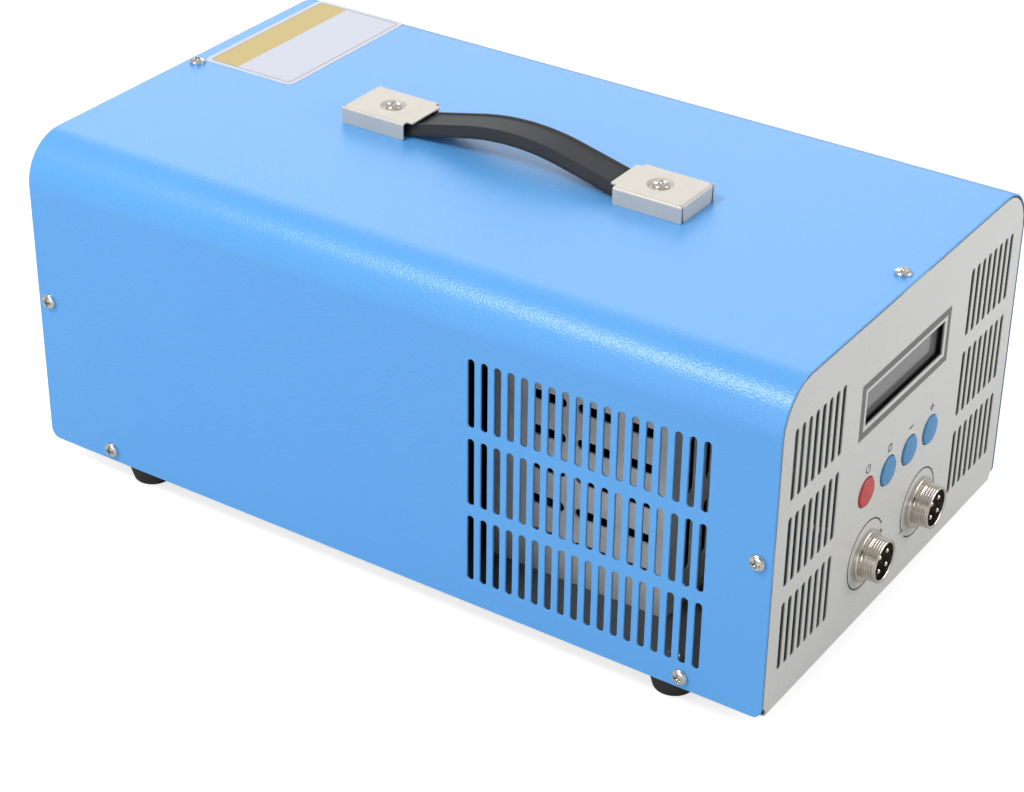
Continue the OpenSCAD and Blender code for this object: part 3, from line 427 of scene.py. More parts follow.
def folded_down(axis, at, radius, low=-np.inf, high=np.inf):
    """Placement that folds a sheet's edge down past a line: points beyond the line run round an arc of the
    given outer radius and then straight down. Only points between low and high on the other axis take part."""

    def place(points, normals):
        points, normals = points.copy(), normals.copy()
        beyond = (points[:, axis] > at) & (points[:, 1 - axis] > low) & (points[:, 1 - axis] < high)
        run, level = points[beyond, axis] - at, points[beyond, 2]
        angle = np.clip(run / radius, 0, np.pi / 2)
        straight = np.maximum(run - radius * np.pi / 2, 0)
        points[beyond, axis] = at + (radius + level) * np.sin(angle)
        points[beyond, 2] = (radius + level) * np.cos(angle) - radius - straight
        along, up = normals[beyond, axis], normals[beyond, 2]
        normals[beyond, axis] = along * np.cos(angle) + up * np.sin(angle)
        normals[beyond, 2] = up * np.cos(angle) - along * np.sin(angle)
        return points, normals

    return place


def in_turn(*places):
    """Placements applied one after another."""

    def place(points, normals):
        for step in places:
            points, normals = step(points, normals)
        return points, normals

    return place


def mirrored(axis):
    """Placement that mirrors a sheet in one axis."""
    turn = np.ones(3)
    turn[axis] = -1
    return lambda points, normals: (points * turn, normals * turn)


def swapped(points, normals):
    """Placement that exchanges X and Y."""
    return points[:, (1, 0, 2)], normals[:, (1, 0, 2)]


# Finishes


def linear(colour):
    """Linear colour from an sRGB hex value: the cube-like curve of the sRGB standard, undone."""
    share = np.array([int(colour[i : i + 2], 16) for i in (0, 2, 4)]) / 255
    value = np.where(share <= 0.04045, share / 12.92, ((share + 0.055) / 1.055) ** 2.4)
    return (*value.tolist(), 1.0)


def node(tree, kind, inputs=None, **settings):
    """Adds a shader node with its settings; an input is a value or another node's output socket."""
    made = tree.nodes.new("ShaderNode" + kind)
    for name, value in settings.items():
        setattr(made, name, value)
    for name, value in (inputs or {}).items():
        if isinstance(value, bpy.types.NodeSocket):
            tree.links.new(value, made.inputs[name])
        else:
            made.inputs[name].default_value = value
    return made


MADE = {}


def finish(name, slot_name, colour, pattern=None, **sockets):
    """Material with a principled shader. Constants go on the shader's own sockets, and pattern(tree, place,
    shader) adds what varies over the surface."""
    if name in MADE:
        return MADE[name]
    material = bpy.data.materials.new(name)
    material.use_nodes = True
    material["slot"] = slot_name
    tree = material.node_tree
    shader = tree.nodes["Principled BSDF"]
    shader.inputs["Base Color"].default_value = linear(colour)
    for socket, value in sockets.items():
        shader.inputs[socket.replace("_", " ")].default_value = value
    if pattern:
        place = node(tree, "TexCoord").outputs["Object"]
        pattern(tree, place, shader)
    MADE[name] = material
    return material


def noise(tree, place, scale, detail):
    """Noise over the object's metres."""
    return node(tree, "TexNoise", {"Vector": place, "Scale": scale, "Detail": detail}).outputs["Fac"]


def maths(tree, operation, *values):
    """Result of a sum; each value is a number or another node's output."""
    return node(tree, "Math", dict(enumerate(values)), operation=operation).outputs[0]


def vectors(tree, operation, *values, output="Vector"):
    """Result of a sum of vectors; each value is three numbers or another node's output."""
    return node(tree, "VectorMath", dict(enumerate(values)), operation=operation).outputs[output]


def vary(tree, shader, factor, low, high):
    """Links a shader's roughness to a pattern, between two values."""
    spread = node(tree, "MapRange", {"Value": factor, "To Min": low, "To Max": high})
    tree.links.new(spread.outputs["Result"], shader.inputs["Roughness"])


def tint(tree, shader, factor, one, other):
    """Links a shader's colour to a pattern, between two colours: hex values or another node's output."""
    one, other = (linear(colour) if isinstance(colour, str) else colour for colour in (one, other))
    blend = node(tree, "Mix", {"Factor": factor, "A": one, "B": other}, data_type="RGBA").outputs["Result"]
    tree.links.new(blend, shader.inputs["Base Color"])
    return blend


def relief(tree, shader, height, depth, strength):
    """Links a shader's normal to a bump of a given depth in metres."""
    bump = node(tree, "Bump", {"Height": height, "Distance": depth, "Strength": strength})
    tree.links.new(bump.outputs["Normal"], shader.inputs["Normal"])


def textured(name, slot_name, colour, between, broad, fine, rough, bump, **sockets):
    """Material with a broad and a fine noise, each given by its scale and detail. The broad one mixes two
    colours. The fine one drives the roughness between two values, and the relief by its depth and strength."""

    def pattern(tree, place, shader):
        marks = noise(tree, place, *fine)
        if between:
            tint(tree, shader, noise(tree, place, *broad) if broad else marks, *between)
        vary(tree, shader, marks, *rough)
        if bump:
            relief(tree, shader, marks, *bump)

    return finish(name, slot_name, colour, pattern, **sockets)


def powder_coat(name, slot_name, colour, light, back, core, depth):
    """Polyester powder coat, sprayed and baked on steel. Its fine orange peel breaks up the highlights. The back
    of the sheet and the inner part of each cut wall take a darker colour: painted shade for the inside of the case.
    A point is on the back if it lies less than the depth from the core, a box given by its middle and its half sizes
    in metres."""

    def pattern(tree, place, shader):
        peel = noise(tree, place, 1400.0, 0.0)
        broad = noise(tree, place, 16.0, 2.0)
        coat = tint(tree, shader, broad, colour, light)
        # Painted shade: points on the back of the sheet and deep in its cut walls take the dark back colour.
        away = vectors(tree, "ABSOLUTE", vectors(tree, "SUBTRACT", place, core[0]))
        outside = vectors(tree, "MAXIMUM", vectors(tree, "SUBTRACT", away, core[1]))
        behind = maths(tree, "LESS_THAN", vectors(tree, "LENGTH", outside, output="Value"), depth)
        tint(tree, shader, behind, coat, back)
        vary(tree, shader, broad, 0.28, 0.31)
        relief(tree, shader, peel, 0.00014, 0.9)

    return finish(name, slot_name, colour, pattern, Roughness=0.3, IOR=1.5)


def plated(name, slot_name, colour, other, rough, metal=1.0):
    """Nickel or zinc plate on steel or brass: a metal with fine tumbling marks and faint stains. A blasted
    plate scatters much of the light, so it counts as a metal only in part."""
    return textured(
        name, slot_name, colour, (colour, other), (120.0, 3.0), (2200.0, 3.0), (0.7 * rough, 1.3 * rough),
        (0.000008, 0.4), Metallic=metal, Roughness=rough,
    )


def galvanised():
    """Hot dip galvanised sheet with a dull skin of oxide: flat grey crystals, 4 to 8 mm across, that differ
    in gloss."""

    def pattern(tree, place, shader):
        crystal = node(tree, "TexVoronoi", {"Vector": place, "Scale": 180.0})
        shade = node(tree, "SeparateColor", {"Color": crystal.outputs["Color"]})
        tint(tree, shader, shade.outputs["Red"], "F0F2F4", "FAFBFC")
        vary(tree, shader, shade.outputs["Green"], 0.45, 0.62)

    return finish("Galvanised_sheet", "galvanised_sheet", "F5F6F8", pattern, Metallic=0.05, Roughness=0.55)


def moulded(name, slot_name, colour, other, rough, grain=0.5, depth=0.00003):
    """Moulded plastic with the light spark grain of its mould; the grain is in millimetres."""
    return textured(
        name, slot_name, colour, (colour, other), (60.0, 2.0), (1000 / grain, 2.0), (rough - 0.05, rough + 0.08),
        (depth, 0.5), Roughness=rough, IOR=1.49,
    )


def strap_plastic():
    """Soft PVC strap, extruded: it has a fine leather grain and a dull sheen."""

    def pattern(tree, place, shader):
        grain = node(tree, "TexVoronoi", {"Vector": place, "Scale": 1100.0}, feature="SMOOTH_F1")
        broad = noise(tree, place, 90.0, 3.0)
        tint(tree, shader, broad, "323438", "393B3F")
        vary(tree, shader, broad, 0.36, 0.46)
        relief(tree, shader, grain.outputs["Distance"], 0.00002, 0.5)

    return finish("Soft_pvc", "strap_plastic", "35373B", pattern, Roughness=0.4, Specular_IOR_Level=0.1)


def rubber():
    """Moulded black rubber: matt, with dust that greys it in patches."""
    return textured(
        "Moulded_rubber", "black_rubber", "222223", ("1B1B1C", "2E2E30"), None, (240.0, 4.0), (0.62, 0.85),
        (0.00004, 0.5), Roughness=0.75, IOR=1.52,
    )


def circuit_board():
    """Glass fibre board under green solder resist, with the copper tracks showing as a lighter green."""

    def pattern(tree, place, shader):
        turned = node(tree, "Mapping", {"Vector": place, "Rotation": (0.0, 0.0, 0.785)})
        inputs = {"Vector": turned.outputs["Vector"], "Scale": 220.0, "Mortar Size": 0.03}
        inputs.update({"Color1": linear("1D5A36"), "Color2": linear("236A41"), "Mortar": linear("2F8050")})
        tracks = node(tree, "TexBrick", inputs)
        tree.links.new(tracks.outputs["Color"], shader.inputs["Base Color"])

    return finish("Solder_resist", "board_green", "20603A", pattern, Roughness=0.35, IOR=1.55)


def display_glass():
    """Glass over a liquid crystal cell with no power: grey, with the two rows of sixteen character cells
    just showing. A cell is 3.1 mm wide and 5.4 mm high."""

    def pattern(tree, place, shader):
        start = vectors(tree, "SUBTRACT", place, tuple(middle_mm("lcd_glass") / 1000))
        parts = node(tree, "SeparateXYZ", {"Vector": start})

        def cells(value, pitch, width, count):
            shifted = maths(tree, "ADD", value, pitch * count / 2)
            part = maths(tree, "FRACT", maths(tree, "DIVIDE", shifted, pitch))
            inside = maths(tree, "COMPARE", part, 0.5, width / pitch / 2)
            near = maths(tree, "COMPARE", value, 0.0, pitch * count / 2)
            return maths(tree, "MULTIPLY", inside, near)

        across = cells(parts.outputs["X"], 0.0036, 0.0031, 16)
        up = cells(parts.outputs["Z"], 0.0061, 0.0054, 2)
        tint(tree, shader, maths(tree, "MULTIPLY", across, up), "706E6F", "6C6A6B")

    coat = {"Coat_Weight": 0.6, "Coat_Roughness": 0.06}
    return finish("Display_glass", "display_glass", "706E6F", pattern, Roughness=0.16, IOR=1.52, **coat)


def ink(name, colour):
    """Screen printed ink: a thin matt film."""
    return textured(
        name, "grey_powder_coat", colour, None, None, (1500.0, 2.0), (0.5, 0.65), (0.00002, 0.4), Roughness=0.58,
        IOR=1.5,
    )


def paper(name, colour):
    """Coated paper label: slightly glossy, with a faint fibre."""
    return textured(
        name, "white_plastic", colour, None, None, (700.0, 3.0), (0.34, 0.46), (0.00002, 0.4), Roughness=0.4,
        IOR=1.5,
    )


def bare_metal(name, slot_name, colour, other, rough):
    """Bare metal such as extruded aluminium, brass or resistance alloy, with fine handling marks."""
    return textured(
        name, slot_name, colour, (colour, other), None, (300.0, 4.0), (rough - 0.08, rough + 0.1), None, Metallic=1.0,
        Roughness=rough,
    )


def blue_coat():
    """The cover's back, which takes the painted shade, lies within 19.3 mm of the line that the bends turn about."""
    core = (0.0, 0.0, 0.0322), (0.0825, 1.0, 0.1)
    return powder_coat("Blue_powder_coat", "blue_powder_coat", "5BA5EA", "60A9EC", "3C4654", core, 0.0193)


def grey_coat():
    """The chassis is a tray, so its core has no upper end. Its back and the inner part of its cut walls take the
    painted shade.
    """
    core = (0.0, 0.0, 0.5113), (1.0, 0.175, 0.5)
    return powder_coat("Grey_powder_coat", "grey_powder_coat", "C9C9C6", "CECECB", "66686A", core, 0.0005)


def nickel():
    """Bright nickel gives the sockets their hard, mirror-like highlights."""
    return plated("Bright_nickel", "nickel_plate", "E0D9D0", "D8D1C8", 0.16)


def dull_nickel():
    """Blasted nickel gives the handle's caps an even, warm grey."""
    return plated("Blasted_nickel", "nickel_plate", "D3CEC5", "C8C3BA", 0.5, 0.4)


def zinc():
    """Bright zinc gives the screws small, cold highlights."""
    return plated("Bright_zinc", "zinc_plate", "E2E0DC", "D6D4D0", 0.17)


def black_abs():
    """Black plastic with a fine grain gives the fans and the inlet a soft sheen."""
    return moulded("Black_moulding", "black_plastic", "1C1C1D", "262627", 0.42)


# Sizes and light that a user would change


def length_property(name, description, value):
    """Property that holds a length in millimetres."""
    return bpy.props.FloatProperty(name=name, description=description + ", mm", default=value)


def angle_property(name, description, degrees):
    """Property that holds an angle, which is given in degrees."""
    return bpy.props.FloatProperty(name=name, description=description, default=math.radians(degrees), unit="ROTATION")


def power_property(name, lamp, value):
    """Property that holds a lamp's power in watts."""
    return bpy.props.FloatProperty(name=name, description=f"Power of the {lamp} lamp, W", default=value, unit="POWER")


class CaseSizes(bpy.types.PropertyGroup):
    """Sizes of the folded cover that the frame's box doesn't give."""

    sheet: length_property("Sheet", "Thickness of the sheet", 1.2)
    bend: length_property("Bend", "Outer radius of the top bends", 20.0)
    skirt: length_property("Skirt", "Radius of the lower corners", 4.5)
    chassis_bend: length_property("Chassis bend", "Outer radius of its folds", 2.0)
    flange: length_property("Flange", "Height of the side flanges", 11.0)
    rim: length_property("Rim", "Rounding of cut edges under the paint", 0.35)
    slot_width: length_property("Slot width", "Width of a side slot", 3.0)
    slot_length: length_property("Slot length", "Length of a side slot", 30.0)


class HandleSizes(bpy.types.PropertyGroup):
    """Sizes of the strap and its end caps."""

    cap_fold: length_property("Cap fold", "Outer radius of a cap's folds", 1.2)
    cap_sheet: length_property("Cap sheet", "Thickness of a cap", 0.8)
    dish: length_property("Dish", "Depth of a cap under its screw", 1.2)
    bead: length_property("Bead", "Height of the beads along the strap", 0.5)


class PanelSizes(bpy.types.PropertyGroup):
    """Sizes of what is printed on or stands on the front panel."""

    ring: length_property("Ring", "Radius of the ring round a socket", 14.7)
    line: length_property("Line", "Width of a printed line", 0.72)
    thread: length_property("Thread", "Pitch of the sockets' threads", 1.1)
    thread_depth: length_property("Thread depth", "Depth of a thread", 0.6)


class StageSettings(bpy.types.PropertyGroup):
    """Camera and lights."""

    azimuth: angle_property("Azimuth", "Camera's turn from the front", -56.692)
    elevation: angle_property("Elevation", "Camera's height", 30.901)
    roll: angle_property("Roll", "Camera's tilt", 0.775)
    distance: bpy.props.FloatProperty(name="Distance", description="Camera to target", default=0.9838, unit="LENGTH")
    lens: bpy.props.FloatProperty(name="Lens", description="Focal length, mm", default=89.41, unit="CAMERA")
    world: bpy.props.FloatProperty(name="World", description="Strength of the even light", default=0.55)
    key: power_property("Key", "rear left", 15.0)
    fill: power_property("Fill", "front right", 2.7)
    sheen: power_property("Sheen", "rear right", 9.5)
    left: power_property("Left", "left", 7.4)


GROUPS = {
    "tester_case": CaseSizes,
    "tester_handle": HandleSizes,
    "tester_panel": PanelSizes,
    "tester_stage": StageSettings,
}


# Pieces


def case_screws():
    """Case screws of a side wall: height over the edge and Y."""
    return [
        (up, end * (CASE_HALF - far))
        for end in (-1, 1)
        for far, up in ((LOW_SCREW_IN, LOW_SCREW_UP), (END_SCREW_IN, END_SCREW_UP))
    ]


def flat_piece(name, material, shapes, low, high, edge, place):
    """A piece of flat shapes, each an outline with the holes in it."""
    work = Patchwork()
    for outline, holes in shapes:
        plate(work, outline, holes, low, high, edge, place)
    work.piece(name, material)


class TESTER_OT_cover(bpy.types.Operator):
    """Cover: one punched sheet, bent over the case and powder coated."""

    bl_idname = "tester.cover"
    bl_label = "Cover"

    def execute(self, context):
        size = context.scene.tester_case
        wall = COVER_HIGH[2] - COVER_LOW[2] - size.bend
        flat = COVER_HIGH[0] - COVER_LOW[0] - 2 * size.bend
        arc = size.bend * np.pi / 2
        total = 2 * wall + 2 * arc + flat
        legs = [(wall, 0), (arc, -np.pi / 2), (flat, 0), (arc, -np.pi / 2), (wall, 0)]
        course = Course(legs, (COVER_LOW[0], COVER_LOW[2]), np.pi / 2)
        bends = np.concatenate([start + np.linspace(0, arc, 19) for start in (wall, wall + arc + flat)])
        outline = rectangle((0, COVER_LOW[1]), (total, COVER_HIGH[1]), size.skirt, 8)
        outline = densified(outline, 0, bends)
        first_up, row_pitch, first_in, column_pitch = 26.5, 35.0, 28.9, 6.0
        slots = [
            (first_up + row_pitch * row, COVER_LOW[1] + first_in + column_pitch * column)
            for row in range(3)
            for column in range(18)
        ]
        holes = [slot((u, y), size.slot_length, size.slot_width) for up, y in slots for u in (up, total - up)]
        holes += [hole((u, y), CLEAR) for up, y in case_screws() for u in (up, total - up)]
        holes += [hole((total / 2, end * (CASE_HALF - END_SCREW_IN)), CLEAR) for end in (-1, 1)]
        holes += [hole((total / 2, y), BOLT) for y in HANDLE_SCREWS]
        work = Patchwork()
        plate(work, outline, holes, -size.sheet, 0.0, size.rim, folded(course), [(0, value) for value in bends])
        work.piece("cover_sheet", blue_coat(), replaces=["cover"])
        return {"FINISHED"}


class TESTER_OT_chassis(bpy.types.Operator):
    """Chassis: the floor and both panels folded from one punched sheet, with side flanges and six tabs."""

    bl_idname = "tester.chassis"
    bl_label = "Chassis"

    def execute(self, context):
        size = context.scene.tester_case
        bend, arc = size.chassis_bend, size.chassis_bend * np.pi / 2
        self.panel_top, self.flange_half = PANEL_HIGH[2] - SHEET_GAP, 163.0
        wall = self.panel_top - PANEL_LOW[2] - bend
        floor = REAR_Y - FRONT_Y - 2 * bend
        legs = [(wall, 0), (arc, np.pi / 2), (floor, 0), (arc, np.pi / 2), (wall, 0)]
        course = Course(legs, (FRONT_Y, self.panel_top), -np.pi / 2)
        self.total = course.at[-1]
        middle = self.total / 2
        fold = PANEL_HIGH[0] - bend
        bends = [start + share for start in (wall, wall + arc + floor) for share in np.linspace(0, arc, 7)]
        sides = [sign * (fold + share) for sign in (-1, 1) for share in np.linspace(0, arc, 7)]
        outline = self.blank_edge(size, wall, arc, middle, fold + arc + size.flange - bend)
        outline = densified(densified(outline, 0, bends), 1, sides)
        reach = self.flange_half - 0.5
        side_fold = folded_down(1, fold, bend, middle - reach, middle + reach)
        place = in_turn(
            mirrored(2), side_fold, mirrored(1), side_fold, mirrored(1), mirrored(2), folded(course), swapped
        )
        level = fold + arc - bend + EDGE_Z + LOW_SCREW_UP - PANEL_LOW[2]
        holes = self.front_holes() + self.rear_holes()
        for far, out, radius in ((CASE_HALF - LOW_SCREW_IN, level, TAPPED), (FOOT_SCREW_Y, FOOT_SCREW_X, BOLT)):
            holes += [hole((middle + y, x), radius) for y in (-far, far) for x in (-out, out)]
        creases = [(0, value) for value in bends] + [(1, value) for value in sides]
        work = Patchwork()
        plate(work, outline, holes, 0.0, size.sheet, 0.28, place, creases)
        self.tabs(work, size.sheet)
        work.piece("chassis_sheet", grey_coat(), replaces=["chassis"])
        return {"FINISHED"}

    def blank_edge(self, size, wall, arc, middle, flange):
        """Edge of the blank. A quarter of it is given and mirrored: the panel's top corner, its step above the
        floor's fold, the notch beside the fold, and the side flange."""
        half = PANEL_HIGH[0] - SHEET_GAP
        step, notch = half - 2.4, wall + arc + 1.0
        start = middle - self.flange_half
        quarter = [
            (0.0, half, size.bend - 1.5), (wall - 3.6, half, 1.6), (wall - 0.7, step, 1.0), (notch, step, 0.3),
            (notch, half, 0.8), (start, half, 0.3), (start, step, 0.3), (start + 1.0, step, 0.3),
            (start + 1.0, flange, 1.5),
        ]
        right = quarter + [(self.total - u, v, radius) for u, v, radius in reversed(quarter)]
        loop = np.array([(u, -v, radius) for u, v, radius in right] + right[::-1])
        return rounded(loop[:, :2], loop[:, 2], 7)

    def tabs(self, work, sheet):
        """Tabs that take the case screws: one on top of each panel and one at each of its sides."""
        reach, root, half_top, half_side, rim = 12.0, 0.2, 12.0, 9.0, 0.25
        high, screw = PANEL_HIGH[2], CASE_HALF - END_SCREW_IN
        for end in (-1, 1):
            near, far = sorted((end * (REAR_Y - root), end * (REAR_Y - reach)))
            shape = rectangle((-half_top, near), (half_top, far), 1.5)
            plate(work, shape, [hole((0.0, end * screw), TAPPED)], high - sheet, high, rim, top(z=0.0))
            for sign in (-1, 1):
                near, far = sorted((sign * end * (REAR_Y - root), sign * end * (REAR_Y - reach)))
                spot = (sign * end * screw, EDGE_Z + END_SCREW_UP)
                shape = rectangle((near, spot[1] - half_side), (far, spot[1] + half_side), 1.5)
                place = axes((sign * PANEL_HIGH[0], 0, 0), (0, sign, 0), (0, 0, 1), (sign, 0, 0))
                plate(work, shape, [hole(spot, TAPPED)], -sheet, 0.0, rim, place)

    def front_holes(self):
        """Slots, window, button holes and socket holes, in the blank's coordinates."""
        drop = self.panel_top - EDGE_Z
        first_up, row_pitch, block_x, column_pitch = 31.7, 37.3, 72.7, 5.2
        slot_length, slot_width, button_hole, socket_hole = 30.0, 2.8, 6.5, 9.15
        window_left, window_right, window_low, window_high = -34.2, 31.8, 93.4, 108.4
        spots = [
            (drop - first_up - row_pitch * row, sign * block_x + (column - 3.5) * column_pitch)
            for row in range(3)
            for column in range(8)
            for sign in (-1, 1)
        ]
        holes = [slot(spot, slot_length, slot_width) for spot in spots]
        holes.append(rectangle((drop - window_high, window_left), (drop - window_low, window_right), 0.3, 3))
        for place in range(4):
            spot = drop - BUTTON_UP, BUTTON_MIDDLE + BUTTON_PITCH * (place - 1.5)
            holes.append(circle(spot, button_hole, 48))
        return holes + [circle((drop - SOCKET_UP, x), socket_hole, 48) for x in (-SOCKET_X, SOCKET_X)]

    def rear_holes(self):
        """Fan opening, inlet opening and signal socket hole."""
        middle = middle_mm("fan_frame")
        up = self.total - self.panel_top
        fan_hole, inlet_half, signal_up, signal_hole = 43.5, np.array((23.8, 13.8)), 42.0, 6.15
        fan = up + middle[2], middle[0]
        spans = (-FAN_SCREW, FAN_SCREW)
        holes = [circle(fan, fan_hole, 96)] + [hole((fan[0] + u, fan[1] + v), BOLT) for u in spans for v in spans]
        inlet = up + INLET_Z, INLET_X
        holes.append(rectangle(inlet - inlet_half, inlet + inlet_half, 1.0, 5))
        holes += [hole((inlet[0], INLET_X + v), CLEAR) for v in (-INLET_SCREW, INLET_SCREW)]
        holes.append(circle((up + signal_up, INLET_X), signal_hole, 48))
        return holes


class TESTER_OT_feet(bpy.types.Operator):
    """Four rubber feet, turned about their axes: a cone with rounded edges and a recess for the screw."""

    bl_idname = "tester.feet"
    bl_label = "Feet"

    def execute(self, context):
        low, high = box_mm("feet")
        wide, tall, seat, recess, base = 11.0, 10.0, 4.5, 4.0, 8.2
        profile = [(BOLT, seat), (recess, seat), (recess, 0.0), (base, 0.0), (wide, tall), (BOLT, tall)]
        outline = rounded(profile, [0.1, 0.3, 0.5, 1.0, 0.7, 0.1], 6)
        work = Patchwork()
        for x in (low[0] + wide, high[0] - wide):
            for y in (low[1] + wide, high[1] - wide):
                lathe(work, outline, top(x, y, 0.0), 72)
        work.piece("rubber_feet", rubber(), replaces=["feet"])
        return {"FINISHED"}


class TESTER_OT_prints(bpy.types.Operator):
    """Prints on the front panel: display band, socket rings and plain marks."""

    bl_idname = "tester.prints"
    bl_label = "Panel prints"

    def execute(self, context):
        size = context.scene.tester_panel
        film = (-0.02, 0.05, 0, front(z=EDGE_Z))
        band = rectangle((-39.15, 88.75), (36.45, 113.2), 0.3, 3), [rectangle((-36.0, 91.8), (33.8, 110.1), 0.2, 3)]
        flat_piece("display_band", ink("Grey_ink", "6C6D6D"), [band], *film)
        flat_piece("panel_print", ink("Dark_ink", "4E4E4F"), self.marks(size.ring, size.line), *film)
        return {"FINISHED"}

    def marks(self, ring, line):
        """Rings round the sockets, plus and minus marks in their gaps, and one plain symbol over each button."""

        def bar(x, z, width, height):
            return rectangle((x - width / 2, z - height / 2), (x + width / 2, z + height / 2), 0.1, 2), []

        def plus(x, z, span):
            h, t = span / 2, line / 2
            corners = [(-t, -h), (t, -h), (t, -t), (h, -t), (h, t), (t, t), (t, h), (-t, h), (-t, t), (-h, t)]
            corners += [(-h, -t), (-t, -t)]
            return rounded(np.array(corners) + (x, z), 0.05, 2), []

        left, right = (-SOCKET_X, SOCKET_UP + 0.4), (SOCKET_X, SOCKET_UP - 0.3)
        for centre, start, end in ((left, 30, 300), (right, 0, 207), (right, 228, 300)):
            yield arc_band(centre, ring, line, start, end), []
        yield plus(12.6 - SOCKET_X, SOCKET_UP + 3.5, 3.6)
        yield bar(SOCKET_X - 12.6, SOCKET_UP - 7.6, 3.4, line)
        row = BUTTON_UP + 10.5
        x_on, x_set, x_minus, x_plus = BUTTON_MIDDLE + BUTTON_PITCH * (np.arange(4) - 1.5)
        yield arc_band((x_on, row), 1.7, 0.6, 130, 410), []
        yield bar(x_on, row + 1.4, 0.6, 2.0)
        outer, inner = (
            rectangle((x_set - half, row - half), (x_set + half, row + half), radius, 3)
            for half, radius in ((1.6, 0.4), (1.0, 0.2))
        )
        yield outer, [inner]
        yield bar(x_minus, row, 3.4, 0.8)
        yield plus(x_plus, row, 3.6)


class TESTER_OT_label(bpy.types.Operator):
    """Plain label on the cover's top, left blank."""

    bl_idname = "tester.label"
    bl_label = "Blank label"

    def execute(self, context):
        low, high = np.array((4.0, 122.0)), np.array((88.0, 170.0))
        line, inside = 2.2, 2.6
        sheet = rectangle(low, high, 3.0, 8)
        band = rectangle(low + (inside, 31.0), high - inside, 1.6, 8)
        rim, window = rectangle(low + line, high - line, 2.0, 8), rectangle(low + inside, high - inside, 1.6, 8)
        flat_piece("label_sheet", paper("White_label", "C4C8D6"), [(sheet, [])], 0.0, 0.12, 0.03, top())
        flat_piece("label_band", paper("Yellow_label", "C0A85C"), [(band, [])], 0.1, 0.16, 0.03, top())
        flat_piece("label_line", ink("Label_line", "8A8D96"), [(rim, [window])], 0.1, 0.15, 0, top())
        return {"FINISHED"}


def strap_section(bead):
    """Strap's section: sloping sides and a flat top, with a bead along each top edge."""
    thick = 5.0
    half = [(9.0, 0.0), (9.0, 1.5), (7.35, thick), (6.1, thick), (5.5, thick - bead)]
    radii = [0.5, 0.8, 0.55, 0.3, 0.35]
    return rounded(half + [(-x, y) for x, y in reversed(half)], radii + radii[::-1], 5)


